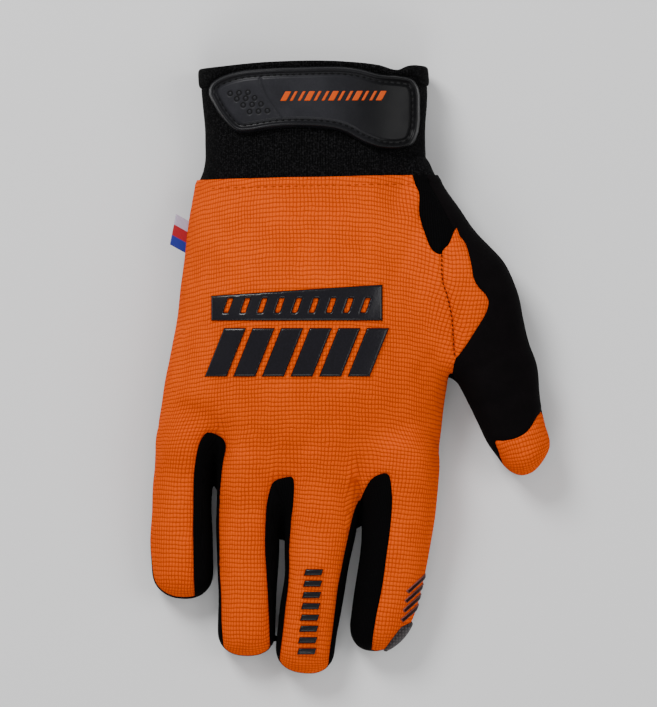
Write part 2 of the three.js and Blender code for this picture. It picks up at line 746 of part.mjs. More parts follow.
function strapBody() {
  const top = seatGap + strap.base;
  const base = layer(strapOutline(0), seatGap, top);
  const edge = layer(strapOutline(0), seatGap, top + rim.height)
    .subtract(solid(prism(strapOutline(rim.width))));
  const pad = layer(strapOutline(rim.width + strap.groove), seatGap, top + strap.padHeight);
  const padTop = top + strap.padHeight;
  const line = layer(tabLineOutline(), padTop - tabLine.depth, padTop + tabLine.depth);
  return base.add(edge).add(pad).subtract(line);
}

// Prints of raised rubber

// A four-sided outline that leans: its top edge is moved sideways by slant times its height.
function leaningBlock(centre, width, height, slant) {
  const shift = (slant * height) / 2;
  return [
    [-width / 2 - shift, -height / 2],
    [width / 2 - shift, -height / 2],
    [width / 2 + shift, height / 2],
    [-width / 2 + shift, height / 2],
  ].map(([x, y]) => new THREE.Vector2(centre.x + x, centre.y + y));
}

const printTop = seatGap + print.thickness;
const printPlace = handPoint(barPlace);

function printBar() {
  const half = print.width / 2;
  const corners = [[-half, 0], [half, 0], [half, print.barRight], [-half, print.barLeft]];
  const outline = corners.map(([x, y]) => new THREE.Vector2(printPlace.x + x, printPlace.y + y));
  const bar = layer(outline, seatGap, printTop);
  const pitch = print.width / (slots.count + 1);
  const row = printPlace.y + (print.barLeft + print.barRight) / 4;
  return Array.from({ length: slots.count }, (_, i) => {
    const centre = new THREE.Vector2(printPlace.x + (i - (slots.count - 1) / 2) * pitch, row);
    return solid(prism(leaningBlock(centre, slots.width, slots.height, slots.slant)));
  }).reduce((made, slot) => made.subtract(slot), bar);
}

function printBlocks() {
  const row = printPlace.y - print.bandGap - print.blockHeight / 2;
  const pitch = print.width / blocks.count;
  return Array.from({ length: blocks.count }, (_, i) => {
    const centre = new THREE.Vector2(printPlace.x + (i - (blocks.count - 1) / 2) * pitch, row);
    const outline = leaningBlock(centre, pitch - blocks.gap, print.blockHeight, blocks.slant);
    return layer(outline, seatGap, printTop);
  });
}

function fingerPrints() {
  return Array.from({ length: fingerBars.count }, (_, i) => {
    const at = fingerBarStart.at + (i * fingerBars.pitch) / middle.length;
    const centre = digitPoint(middle, at, fingerBarStart.offset);
    const outline = leaningBlock(centre, fingerBars.length, fingerBars.width, fingerBars.slant);
    return layer(outline, seatGap, printTop, middle.height / 2);
  });
}

// The index finger's stripes lean round its outer side.
function indexStripes() {
  return Array.from({ length: stripes.count }, (_, i) => {
    const shift = (i * stripes.pitch) / index.length;
    const inner = digitPoint(index, stripeEnds.inner.at + shift, stripeEnds.inner.offset + i * stripeEnds.step);
    const outer = digitPoint(index, stripeEnds.outer.at + shift, stripeEnds.outer.offset);
    const along = outer.clone().sub(inner).normalize();
    const acrossStripe = new THREE.Vector2(-along.y, along.x).multiplyScalar(stripes.width / 2);
    const outline = [
      inner.clone().sub(acrossStripe), outer.clone().sub(acrossStripe),
      outer.clone().add(acrossStripe), inner.clone().add(acrossStripe)];
    return layer(outline, seatGap, printTop, index.height * 0.35);
  });
}

function indexPatch() {
  const outline = patchEdge.map(({ at, offset }) => digitPoint(index, at, offset));
  return layer(outline, seatGap, seatGap + patch.thickness, index.height * 0.3);
}

// The ribbon tag in the side seam
function tagBody() {
  const tilt = THREE.MathUtils.degToRad(tag.tilt);
  const root = handPoint(tagPlace);
  const out = new THREE.Vector2(-Math.cos(tilt), Math.sin(tilt)).multiplyScalar(tag.proud + tag.sewnIn);
  const down = new THREE.Vector2(tag.slope, -1).normalize().multiplyScalar(tag.length / 2);
  const outline = [
    root.clone().sub(down), root.clone().add(down),
    root.clone().add(down).add(out), root.clone().sub(down).add(out)];
  const slab = solid(prism(outline, tag.height - tag.thickness / 2, tag.height + tag.thickness / 2));
  return slab.subtract(form(seatGap));
}

const glove = new THREE.Group();
glove.add(
  named("back_panel", backBody, orange),
  named("thumb_gusset", thumbSide.piece, orange),
  named("thumb_tip_panel", thumbTip.piece, orange),
  named("thumb_panel", thumbPiece.piece, suede),
  named("palm_panel", palmBody, suede),
  named("fourchette_pinky_ring", fourchetteBodies[0], stretch),
  named("fourchette_ring_middle", fourchetteBodies[1], stretch),
  named("fourchette_middle_index", fourchetteBodies[2], stretch),
  named("wrist_gusset", wristPiece.piece, stretch),
  named("cuff", cuffBody, knit),
  named("cuff_binding", bindingBody, knit),
  named("strap", strapBody(), rubber),
  named("print_bar", printBar(), gloss),
  named("index_tip_patch", indexPatch(), silicone),
  named("side_tag", tagBody(), ribbon),
);
printBlocks().forEach((body, i) => glove.add(named(`print_block_${i + 1}`, body, gloss)));
fingerPrints().forEach((body, i) => glove.add(named(`finger_print_${i + 1}`, body, gloss)));
indexStripes().forEach((body, i) => glove.add(named(`index_stripe_${i + 1}`, body, silicone)));

export default glove;
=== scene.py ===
"""The looks of a right-hand motocross glove that lies palm down. Lengths are in metres."""

import math

import bpy
import numpy as np
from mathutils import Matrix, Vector, kdtree


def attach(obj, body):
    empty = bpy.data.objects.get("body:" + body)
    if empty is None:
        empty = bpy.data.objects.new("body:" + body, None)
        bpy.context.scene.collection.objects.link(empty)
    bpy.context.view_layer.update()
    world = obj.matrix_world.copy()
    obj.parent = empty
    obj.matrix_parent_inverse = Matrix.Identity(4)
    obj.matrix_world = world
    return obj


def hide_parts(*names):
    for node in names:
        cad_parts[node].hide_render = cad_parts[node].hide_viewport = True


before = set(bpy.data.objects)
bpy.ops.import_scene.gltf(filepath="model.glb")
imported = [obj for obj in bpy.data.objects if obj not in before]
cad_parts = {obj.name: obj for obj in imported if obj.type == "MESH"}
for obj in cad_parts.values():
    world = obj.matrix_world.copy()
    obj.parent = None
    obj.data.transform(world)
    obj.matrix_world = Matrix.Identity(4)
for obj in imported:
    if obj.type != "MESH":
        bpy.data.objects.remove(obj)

MM = 0.001


# Tables and small functions

def columns(names, rows):
    """A short table as one array for each named column."""
    return dict(zip(names.split(), np.array(rows, float).T))


def smooth_curve(xs, ys):
    """A smooth function through the points of a table."""
    slopes = np.gradient(ys, xs)
    dense = np.linspace(xs[0], xs[-1], 600)
    i = np.clip(np.searchsorted(xs, dense) - 1, 0, len(xs) - 2)
    h = xs[i + 1] - xs[i]
    t = (dense - xs[i]) / h
    start = (1 + 2 * t) * (1 - t) ** 2 * ys[i] + t * (1 - t) ** 2 * h * slopes[i]
    end = t * t * (3 - 2 * t) * ys[i + 1] + t * t * (t - 1) * h * slopes[i + 1]
    return lambda x: np.interp(x, dense, start + end)


def smooth_line(points, divisions, closed=False):
    """A smooth line through points of the plan."""
    points = np.asarray(points, float)
    if closed:
        padded = np.vstack([points[-1], points, points[0], points[1]])
    else:
        padded = np.vstack([2 * points[0] - points[1], points, 2 * points[-1] - points[-2]])
    spans = len(padded) - 3
    at = np.linspace(0, spans, divisions, endpoint=not closed)
    i = np.minimum(at.astype(int), spans - 1)
    t = (at - i)[:, None]
    a, b, c, d = (padded[i + k] for k in range(4))
    square, cube = 2 * a - 5 * b + 4 * c - d, 3 * b - a - 3 * c + d
    return 0.5 * (2 * b + (c - a) * t + square * t**2 + cube * t**3)


def curves(table):
    """A smooth function of a table's first column for each of its other columns."""
    first, *names = table
    return {name: smooth_curve(table[first], table[name]) for name in names}


def direction(degrees):
    """A unit vector of the plan, turned from the X axis."""
    turn = math.radians(degrees)
    return np.array([math.cos(turn), math.sin(turn)])


def step_up(value, low, high):
    """A smooth rise from 0 at low to 1 at high."""
    t = np.clip((value - low) / (high - low), 0, 1)
    return t * t * (3 - 2 * t)


def bell(value, width):
    """A smooth bump, 1 in its middle."""
    return np.exp(-(value / width) ** 2)


def rounded(share):
    """A quarter round, from 0 at its edge to 1."""
    return np.sqrt(np.clip(1 - (1 - np.clip(share, 0, 1)) ** 2, 0, 1))


def nearest(plan, places):
    """How far each point of the plan lies from the nearest of some places."""
    return np.min(np.linalg.norm(plan[:, None] - places[None], axis=2), axis=1)


# Sizes that follow the CAD

HAND_WIDTH = 103 * MM
HAND_LENGTH = 172 * MM
HAND_HEIGHT = 33 * MM
HAND_WAIST = 0.36
ORIGIN_SHARE = 0.49
CUFF_LENGTH = 40.4 * MM
BINDING_WIDTH = 7 * MM
BINDING_PROUD = 0.9 * MM
SEAT = 0.3 * MM
DOME_POWER = 2.35
UNDER_POWER = 2.9
SAG = 0.12
TIP_POWER = 2.3
DIGIT_WAIST = 0.42
WEB_LEAN = 0.95

# at: share of the hand's length; left, right: shares of its width; top: share of its height
HAND_SECTIONS = columns("at left right top", [
    (-0.03, -0.385, 0.407, 0.79),
    (0.0, -0.384, 0.408, 0.8),
    (0.05, -0.381, 0.411, 0.81),
    (0.155, -0.367, 0.404, 0.8),
    (0.213, -0.373, 0.408, 0.82),
    (0.243, -0.396, 0.412, 0.86),
    (0.297, -0.417, 0.422, 0.9),
    (0.398, -0.439, 0.444, 0.95),
    (0.498, -0.458, 0.466, 0.99),
    (0.599, -0.485, 0.487, 1.0),
    (0.666, -0.509, 0.48, 0.98),
    (0.733, -0.524, 0.465, 0.91),
    (0.8, -0.532, 0.452, 0.79),
    (0.867, -0.53, 0.44, 0.64),
    (1.0, -0.53, 0.43, 0.4),
])


class Digit:
    """A finger or the thumb. Columns: at, a share of its length; left, right: shares of its width;
    top, lift: shares of its height."""

    def __init__(self, across, along, lean, length, width, height, tip_round, blend, rows):
        self.root = hand_point(across, along)
        self.side = direction(lean)
        self.forward = np.array([self.side[1], -self.side[0]])
        self.length, self.width, self.height = length * MM, width * MM, height * MM
        self.tip_round, self.blend = tip_round * MM, blend * MM
        table = columns("at left right top lift", rows)
        self.start = table["at"][0]
        self.shape = curves(table)

    def local(self, points):
        offset = points[:, :2] - self.root
        return offset @ self.forward / self.length, offset @ self.side

    def plan(self, rows):
        """Points of the plan from rows of (at, offset), shares of the length and the width."""
        rows = np.array(rows, float)
        along = np.outer(rows[:, 0] * self.length, self.forward)
        return self.root + along + np.outer(rows[:, 1] * self.width, self.side)


def hand_points(rows):
    """Points of the plan from rows of (across, along), shares of the hand's width and length."""
    rows = np.array(rows, float)
    return np.column_stack([rows[:, 0] * HAND_WIDTH, (ORIGIN_SHARE - rows[:, 1]) * HAND_LENGTH])


def hand_point(across, along):
    return hand_points([(across, along)])[0]


PINKY = Digit(-0.426, 0.699, -2.3, 72, 22, 16.5, 9, 7, [
    (-0.2, -0.2, 0.3, 0.9, 0.0),
    (0.0, -0.36, 0.38, 1.25, 0.0),
    (0.16, -0.44, 0.44, 1.42, 0.0),
    (0.24, -0.48, 0.45, 1.4, 0.02),
    (0.4, -0.52, 0.46, 1.22, 0.08),
    (0.56, -0.53, 0.46, 1.1, 0.12),
    (0.72, -0.54, 0.5, 1.02, 0.08),
    (0.84, -0.5, 0.52, 0.94, 0.02),
    (1.0, -0.41, 0.5, 0.8, 0.0),
])
RING = Digit(-0.21, 0.762, -1, 82, 22, 18, 9, 7, [
    (-0.2, -0.3, 0.3, 1.1, 0.0),
    (0.0, -0.44, 0.42, 1.5, 0.0),
    (0.08, -0.48, 0.48, 1.48, 0.0),
    (0.22, -0.53, 0.52, 1.34, 0.04),
    (0.36, -0.53, 0.53, 1.18, 0.1),
    (0.5, -0.52, 0.52, 1.1, 0.14),
    (0.64, -0.49, 0.5, 1.04, 0.11),
    (0.78, -0.47, 0.48, 0.97, 0.05),
    (1.0, -0.47, 0.47, 0.8, 0.0),
])
MIDDLE = Digit(0.052, 0.762, -5, 88.5, 23, 18.5, 9.5, 7, [
    (-0.2, -0.3, 0.3, 1.1, 0.0),
    (0.0, -0.5, 0.52, 1.52, 0.0),
    (0.07, -0.56, 0.56, 1.48, 0.0),
    (0.21, -0.57, 0.64, 1.32, 0.04),
    (0.34, -0.53, 0.65, 1.18, 0.1),
    (0.47, -0.48, 0.6, 1.1, 0.14),
    (0.6, -0.43, 0.55, 1.05, 0.12),
    (0.73, -0.46, 0.51, 0.99, 0.07),
    (0.85, -0.47, 0.47, 0.91, 0.02),
    (1.0, -0.45, 0.46, 0.78, 0.0),
])
INDEX = Digit(0.321, 0.762, -5.6, 80.8, 25, 19, 10.5, 7, [
    (-0.2, -0.3, 0.25, 0.9, 0.0),
    (0.0, -0.48, 0.44, 1.3, 0.0),
    (0.08, -0.52, 0.54, 1.38, 0.0),
    (0.23, -0.5, 0.6, 1.3, 0.04),
    (0.37, -0.47, 0.605, 1.16, 0.1),
    (0.51, -0.42, 0.58, 1.09, 0.13),
    (0.66, -0.44, 0.525, 1.03, 0.1),
    (0.8, -0.46, 0.465, 0.95, 0.04),
    (1.0, -0.47, 0.22, 0.78, 0.0),
])
THUMB = Digit(0.454, 0.238, 17.1, 111, 27, 24, 8, 10, [
    (-0.1, -0.5, -0.09, 0.9, 0.0),
    (0.0, -0.6, 0.0, 1.0, 0.0),
    (0.1, -0.65, 0.13, 1.08, 0.0),
    (0.2, -0.7, 0.26, 1.16, 0.0),
    (0.32, -0.72, 0.505, 1.22, 0.0),
    (0.4, -0.7, 0.555, 1.2, 0.0),
    (0.52, -0.66, 0.515, 1.12, 0.0),
    (0.6, -0.61, 0.5, 1.07, 0.02),
    (0.66, -0.56, 0.52, 1.03, 0.03),
    (0.78, -0.48, 0.425, 0.96, 0.02),
    (0.86, -0.42, 0.385, 0.9, 0.0),
    (0.93, -0.33, 0.37, 0.84, 0.0),
    (1.0, -0.26, 0.19, 0.76, 0.0),
])
DIGITS = [PINKY, RING, MIDDLE, INDEX, THUMB]

# Where the webs between the fingers end at the palm, as (across, along) on the hand
WEB_ENDS = [(-0.6, 0.84), (-0.352, 0.879), (-0.096, 0.998), (0.246, 0.956), (0.5, 0.9)]
# at: share of the hand's length; height: share of its height, of the seam round the palm
PALM_SEAM = columns("at height", [
    (0.2, 0.3), (0.6, 0.29), (0.9, 0.25), (1.1, 0.245), (1.3, 0.21)])
# across: share of the hand's width; rise: share of the cuff's length
MOUTH_EDGE = columns("across rise", [
    (-0.5, -0.05), (-0.36, -0.02), (-0.12, 0.03), (0.12, 0.03), (0.24, 0.0),
    (0.31, -0.04), (0.35, 0.0), (0.4, 0.0), (0.5, -0.06)])
HEM_EDGE = columns("across rise", [
    (-1.0, -0.02), (-0.4, -0.02), (0.0, 0.0), (0.36, 0.02), (1.0, 0.02)])

# Edges of the coloured back panel beside each opening between two fingers, as (at, offset) on the finger
SEAMS = {
    "pinky_right": (PINKY, [(0.205, 0.24), (0.28, 0.185), (0.56, 0.165), (0.84, 0.205), (1.0, 0.24)]),
    "ring_left": (RING, [(0.057, -0.42), (0.11, -0.42), (0.17, -0.455), (0.25, -0.49), (0.36, -0.5),
                         (0.5, -0.49), (0.78, -0.435), (1.0, -0.38)]),
    "ring_right": (RING, [(0.235, 0.39), (0.275, 0.335), (0.36, 0.305), (0.5, 0.29), (0.64, 0.33),
                          (0.78, 0.375), (1.0, 0.41)]),
    "middle_left": (MIDDLE, [(0.21, -0.43), (0.245, -0.4), (0.33, -0.41), (0.42, -0.425),
                             (0.62, -0.375), (0.82, -0.395), (1.0, -0.4)]),
    "middle_right": (MIDDLE, [(0.193, 0.76), (0.245, 0.68), (0.33, 0.59), (0.42, 0.52), (0.52, 0.49),
                              (0.62, 0.44), (0.82, 0.415), (1.0, 0.38)]),
    "index_left": (INDEX, [(0.21, -0.12), (0.285, -0.055), (0.38, -0.03), (0.55, -0.042),
                           (0.72, -0.065), (0.88, -0.115), (1.0, -0.12)]),
}
# The three openings between fingers: the seams beside them and the top of the arch, as (across, along)
FOURCHETTES = {
    "fourchette_pinky_ring": ("pinky_right", "ring_left", (-0.352, 0.768)),
    "fourchette_ring_middle": ("ring_right", "middle_left", (-0.096, 0.864)),
    "fourchette_middle_index": ("middle_right", "index_left", (0.246, 0.854)),
}
# Panels on the thumb's side, as (across, along) on the hand
WRIST_GUSSET = [
    (0.364, 0.2), (0.364, 0.243), (0.38, 0.268), (0.381, 0.31), (0.4, 0.352), (0.424, 0.386),
    (0.459, 0.395), (0.487, 0.376), (0.54, 0.34), (0.54, 0.2)]
THUMB_GUSSET = [
    (0.459, 0.393), (0.461, 0.448), (0.478, 0.484), (0.494, 0.528), (0.5, 0.575), (0.505, 0.612),
    (0.535, 0.592), (0.574, 0.557), (0.607, 0.526), (0.62, 0.508), (0.623, 0.493), (0.61, 0.478),
    (0.587, 0.464), (0.57, 0.444), (0.562, 0.414), (0.546, 0.374), (0.527, 0.357), (0.511, 0.341),
    (0.485, 0.373)]
THUMB_PANEL_EDGE = [
    (0.385, 0.2), (0.416, 0.243), (0.455, 0.285), (0.49, 0.326), (0.515, 0.36), (0.52, 0.45),
    (0.524, 0.58), (0.499, 0.635), (0.49, 0.76), (0.55, 0.9)]
# The thumb tip's edge, as (at, offset) on the thumb
THUMB_TIP_EDGE = [
    (0.8, 0.7), (0.82, 0.38), (0.861, 0.16), (0.875, -0.03), (0.872, -0.22), (0.866, -0.33),
    (0.91, -0.33), (0.96, -0.36), (1.0, -0.7)]

# The closing strap. along: share of its length from the pull tab's end; high, low, offset: shares
# of its width
STRAP_LENGTH = 76 * MM
STRAP_WIDTH = 26 * MM
STRAP_ROOT = hand_point(-0.353, 0.0526)
STRAP_EDGES = columns("along high low", [
    (0.0, 0.03, -0.06), (0.015, 0.11, -0.15), (0.05, 0.18, -0.33), (0.1, 0.235, -0.51),
    (0.14, 0.262, -0.585), (0.19, 0.285, -0.588), (0.31, 0.308, -0.535), (0.43, 0.318, -0.518),
    (0.56, 0.328, -0.54), (0.64, 0.322, -0.595), (0.72, 0.29, -0.72), (0.81, 0.225, -0.815),
    (0.9, 0.205, -0.825), (0.96, 0.17, -0.76), (0.99, 0.06, -0.6), (1.0, -0.08, -0.4)])
TAB_LINE = columns("along offset", [(0.243, 0.2), (0.251, 0.055), (0.28, -0.125), (0.341, -0.38)])
# Small rings on the pull tab: the first of each row, and from one to the next, in millimetres
RING_RADIUS = 0.8 * MM
RING_ROWS = [(-28.6, 74.0), (-26.2, 72.0), (-23.9, 69.8), (-21.6, 67.4)]
RING_STEP = (3.2, 0.15)
RING_PLACES = MM * np.array([(x + RING_STEP[0] * i, y + RING_STEP[1] * i)
                             for x, y in RING_ROWS for i in range(3)])
# How far the hem's stitches lie from the hem's edge
HEM_STITCH_LINE = 3.1 * MM


# The glove's form as a field: negative inside, and about the distance to the surface near it

def section_norm(x, z, left, right, top, lift, waist_share):
    """How far out a point lies in a cross-section, 1 on its outline."""
    waist = lift + (top - lift) * waist_share
    across = np.abs(x - (left + right) / 2) / ((right - left) / 2)
    above = z > waist
    up = np.where(above, (z - waist) / (top - waist), (waist - z) / ((waist - lift) * (1 + SAG)))
    power = np.where(above, DOME_POWER, UNDER_POWER)
    return (across**power + up**power) ** (1 / power)


def smooth_max(a, b, k):
    """The larger of two fields, rounded by k where they meet."""
    return np.maximum(a, b) + np.clip(k - np.abs(a - b), 0, None) ** 2 / (4 * k)


HAND_SHAPE = curves(HAND_SECTIONS)
WEB_LINE = smooth_curve(*hand_points(WEB_ENDS).T)


def hand_norm(points):
    x, y, z = points.T
    web_scale, web_round = 22 * MM, 0.3
    at = ORIGIN_SHARE - y / HAND_LENGTH
    left, right = HAND_SHAPE["left"](at) * HAND_WIDTH, HAND_SHAPE["right"](at) * HAND_WIDTH
    tube = section_norm(x, z, left, right, HAND_SHAPE["top"](at) * HAND_HEIGHT, 0.0, HAND_WAIST) - 1
    return smooth_max(tube, (WEB_LINE(x) + WEB_LEAN * z - y) / web_scale, web_round)


def digit_norm(points, digit):
    cap_scale, cap_round = 10 * MM, 0.5
    at, across = digit.local(points)
    share = {name: curve(at) for name, curve in digit.shape.items()}
    left, right = share["left"] * digit.width, share["right"] * digit.width
    top, lift = share["top"] * digit.height, share["lift"] * digit.height
    ring = section_norm(across, points[:, 2], left, right, top, lift, DIGIT_WAIST)
    tip_start = 1 - digit.tip_round / digit.length
    past = np.clip((at - tip_start) * digit.length / digit.tip_round, 0, None)
    norm = (ring**TIP_POWER + past**TIP_POWER) ** (1 / TIP_POWER) - 1
    return smooth_max(norm, (digit.start - at) * digit.length / cap_scale, cap_round)


def rise(field, points, h):
    """How much a field rises from h before each point to h past it, along X, Y and Z."""
    return np.column_stack([field(points + s) - field(points - s) for s in np.eye(3) * h])


def distance(points, norm):
    """The distance to a surface, to first order, and the way out of it."""
    h = 0.2 * MM
    slope = rise(norm, points, h) / (2 * h)
    size = np.linalg.norm(slope, axis=1) + 1e-9
    return norm(points) / size, slope / size[:, None]


def near(points, digit):
    """The points that a digit can reach."""
    margin, side_reach = 20 * MM, 0.75
    at, across = digit.local(points)
    past = margin / digit.length
    beside = np.abs(across) < digit.width * side_reach + margin
    return (at > digit.start - past) & (at < 1 + past) & beside


def form(points):
    """The whole glove's outer surface. Each digit flows into the hand, and neighbours stay apart."""
    least_blend, blend_start, blend_end = 0.3, 2 * MM, 24 * MM
    hand, hand_out = distance(points, hand_norm)
    best = hand.copy()
    for digit in DIGITS:
        chosen = np.flatnonzero(near(points, digit))
        if not len(chosen):
            continue
        own, out = distance(points[chosen], lambda p: digit_norm(p, digit))
        turn = np.clip(1 - np.sum(out * hand_out[chosen], axis=1), 0, 2)
        facing = np.maximum(turn * (2 - turn), least_blend * (1 - turn / 2))
        at, _ = digit.local(points[chosen])
        begun = step_up((at - digit.start) * digit.length, blend_start, blend_end)
        joined = -smooth_max(-own, -hand[chosen], digit.blend * facing * begun + 1e-6)
        best[chosen] = np.minimum(best[chosen], joined)
    return np.maximum(best, -points[:, 2])


def outward(points):
    """The surface's normals, from the field."""
    slope = rise(form, points, 0.25 * MM)
    return slope / (np.linalg.norm(slope, axis=1) + 1e-12)[:, None]


def drop(plan, level=0.0):
    """Points of the plan set down on the upper surface, or at a level above it."""
    halvings, lowest, highest = 17, 0.2 * HAND_HEIGHT, 1.3 * HAND_HEIGHT
    low, high = np.full(len(plan), lowest), np.full(len(plan), highest)
    for _ in range(halvings):
        middle = (low + high) / 2
        inside = form(np.column_stack([plan, middle])) < level
        low = np.where(inside, middle, low)
        high = np.where(inside, high, middle)
    return np.column_stack([plan, (low + high) / 2])


# Surface meshes

def window(grid, corner, size):
    """A block of a grid, from a corner."""
    return grid[tuple(slice(c, c + n) for c, n in zip(corner, size))]


def surface_net(values, origin, step):
    """The zero surface of a grid of values as vertices and four-sided faces."""
    inside = values < 0
    units = np.eye(3, dtype=int)
    cells = np.array(values.shape) - 1
    corners = [(i, j, k) for i in (0, 1) for j in (0, 1) for k in (0, 1)]
    count = sum(window(inside, c, cells).astype(int) for c in corners)
    mixed = (count > 0) & (count < 8)
    index = np.full(cells, -1)
    index[mixed] = np.arange(mixed.sum())
    place, hits = np.zeros((mixed.sum(), 3)), np.zeros(mixed.sum())
    for a, unit in [(np.array(c), unit) for c in corners for axis, unit in enumerate(units) if not c[axis]]:
        va, vb = (window(values, corner, cells)[mixed] for corner in (a, a + unit))
        crosses = (va < 0) != (vb < 0)
        share = np.where(crosses, va / np.where(crosses, va - vb, 1), 0)
        place += (a + share[:, None] * unit) * crosses[:, None]
        hits += crosses
    vertices = origin + (np.argwhere(mixed) + place / hits[:, None]) * step
    quads = []
    for axis in range(3):
        way, u, v = (units[(axis + k) % 3] for k in range(3))
        start = 1 - way
        a, b = (window(inside, corner, cells - 1 + way) for corner in (start, start + way))
        edges = np.argwhere(a != b) + start
        ring = np.column_stack([index[tuple((edges - back).T)] for back in (u + v, v, 0, u)])
        leaving = a[a != b]
        ring[~leaving] = ring[~leaving][:, ::-1]
        quads.append(ring)
    return vertices, np.vstack(quads)


def point_normals(points, faces):
    a, b, c = (points[faces[:, k]] for k in range(3))
    across = np.cross(b - a, c - a)
    normals = np.zeros_like(points)
    for k in range(3):
        np.add.at(normals, faces[:, k], across)
    return normals / (np.linalg.norm(normals, axis=1) + 1e-15)[:, None]


def turned(faces, first):
    """Each face with the given corner first."""
    return faces[np.arange(len(faces))[:, None], (first[:, None] + np.arange(3)) % 3]


def cut(points, faces, field):
    """Splits the faces that cross a field's zero line. Points close to the line move onto it."""
    near_line, least_slope, h = 0.16 * MM, 0.3, 0.05 * MM
    value = field(points)
    close = np.flatnonzero(np.abs(value) < near_line)
    slope = rise(field, points[close], h) / (2 * h)
    points = points.copy()
    points[close] -= slope * (value[close] / np.maximum((slope**2).sum(axis=1), least_slope))[:, None]
    value[close] = 0
    sign = np.sign(value)[faces]
    crosses = sign * np.roll(sign, -1, axis=1) < 0
    number = crosses.sum(axis=1)
    twice, once = crosses[number == 2], crosses[number == 1]
    two = turned(faces[number == 2], np.argmax(twice & np.roll(twice, 1, axis=1), axis=1))
    one = turned(faces[number == 1], np.argmax(once, axis=1))
    pairs = np.vstack([two[:, [0, 1]], two[:, [0, 2]], one[:, [0, 1]]])
    if not len(pairs):
        return points, faces
    edges, back = np.unique(np.sort(pairs, axis=1), axis=0, return_inverse=True)
    a, b = value[edges[:, 0]], value[edges[:, 1]]
    share = (a / (a - b))[:, None]
    added = points[edges[:, 0]] * (1 - share) + points[edges[:, 1]] * share
    ab, ac, mid = np.split(len(points) + back.reshape(-1), [len(two), 2 * len(two)])
    corners = [(two[:, 0], ab, ac), (ab, two[:, 1], two[:, 2]), (ab, two[:, 2], ac),
               (one[:, 0], mid, one[:, 2]), (mid, one[:, 1], one[:, 2])]
    kept = [faces[number == 0]] + [np.column_stack(corner) for corner in corners]
    return np.vstack([points, added]), np.vstack(kept)


def compact(faces):
    """The points that some faces use, and the faces renumbered to those."""
    used, local = np.unique(faces, return_inverse=True)
    return used, local.reshape(-1, 3)


def face_edges(faces):
    return np.vstack([faces[:, [0, 1]], faces[:, [1, 2]], faces[:, [2, 0]]])


def border_edges(faces):
    """The directed edges that only one face has."""
    forward = {tuple(e) for e in face_edges(faces).tolist()}
    return np.array([e for e in forward if (e[1], e[0]) not in forward], int).reshape(-1, 2)


def grid_faces(rows, across, closed=False):
    """The faces of rows of points, two to each square. A closed grid joins the ends of each row."""
    i, j = np.meshgrid(np.arange(rows - 1), np.arange(across if closed else across - 1), indexing="ij")
    a, d = (i * across + j).ravel(), (i * across + (j + 1) % across).ravel()
    b, c = a + across, d + across
    return np.vstack([np.column_stack([a, b, c]), np.column_stack([a, c, d])])


def outline_distance(plan, outline):
    """The signed distance from a closed outline of the plan, negative inside."""
    best = np.full(len(plan), np.inf)
    crossings = np.zeros(len(plan), int)
    for a, b in zip(outline, np.roll(outline, -1, axis=0)):
        edge = b - a
        t = np.clip((plan - a) @ edge / max(edge @ edge, 1e-18), 0, 1)
        best = np.minimum(best, np.linalg.norm(plan - a - t[:, None] * edge, axis=1))
        spans = (a[1] > plan[:, 1]) != (b[1] > plan[:, 1])
        up = edge[1] if edge[1] else 1e-18
        crossings += spans & (plan[:, 0] < (plan[:, 1] - a[1]) / up * edge[0] + a[0])
    return np.where(crossings % 2, -best, best)


# Outlines of the panels in the plan

def across_line(table, along, shift=0.0):
    """The y of an edge that runs across the glove, as a function of x."""
    ys = (ORIGIN_SHARE - along) * HAND_LENGTH + table["rise"] * CUFF_LENGTH + shift
    return smooth_curve(table["across"] * HAND_WIDTH, ys)


mouth_line = across_line(MOUTH_EDGE, 0.0)
binding_line = across_line(MOUTH_EDGE, 0.0, -BINDING_WIDTH)
hem_line = across_line(HEM_EDGE, CUFF_LENGTH / HAND_LENGTH)
palm_height = smooth_curve(PALM_SEAM["at"], PALM_SEAM["height"] * HAND_HEIGHT)


def seam_line(name):
    digit, rows = SEAMS[name]
    rows = np.array(rows)
    at = np.linspace(rows[0, 0], 1, 10)
    return digit.plan(np.column_stack([at, smooth_curve(rows[:, 0], rows[:, 1])(at)]))


def fourchette_outline(name):
    left, right, crown = FOURCHETTES[name]
    past_tip = 1.3
    edge = np.vstack([seam_line(left)[::-1], hand_points([crown]), seam_line(right)])
    ends = [SEAMS[right][0].plan([(past_tip, 0)]), SEAMS[left][0].plan([(past_tip, 0)])]
    return np.vstack([*ends, smooth_line(edge, 120)])


# Each panel's outline, which runs on past the glove's edge where the panel ends there
PANELS = {
    **{name: fourchette_outline(name) for name in FOURCHETTES},
    "thumb_tip_panel": np.vstack([smooth_line(THUMB.plan(THUMB_TIP_EDGE), 50),
                                  THUMB.plan([(1.4, -0.7), (1.4, 0.7)])]),
    "thumb_gusset": smooth_line(hand_points(THUMB_GUSSET), 90, closed=True),
    "thumb_panel": np.vstack([smooth_line(hand_points(THUMB_PANEL_EDGE), 60),
                              hand_points([(1.2, 0.9), (1.2, 0.2)])]),
    "wrist_gusset": smooth_line(hand_points(WRIST_GUSSET), 50, closed=True),
}


def above_hem(p):
    return p[:, 1] - hem_line(p[:, 0])


def above_palm(p):
    return p[:, 2] - palm_height(ORIGIN_SHARE - p[:, 1] / HAND_LENGTH)


# Pieces and their surroundings

def add_object(name, data):
    thing = bpy.data.objects.new(name, data)
    bpy.context.scene.collection.objects.link(thing)
    return thing


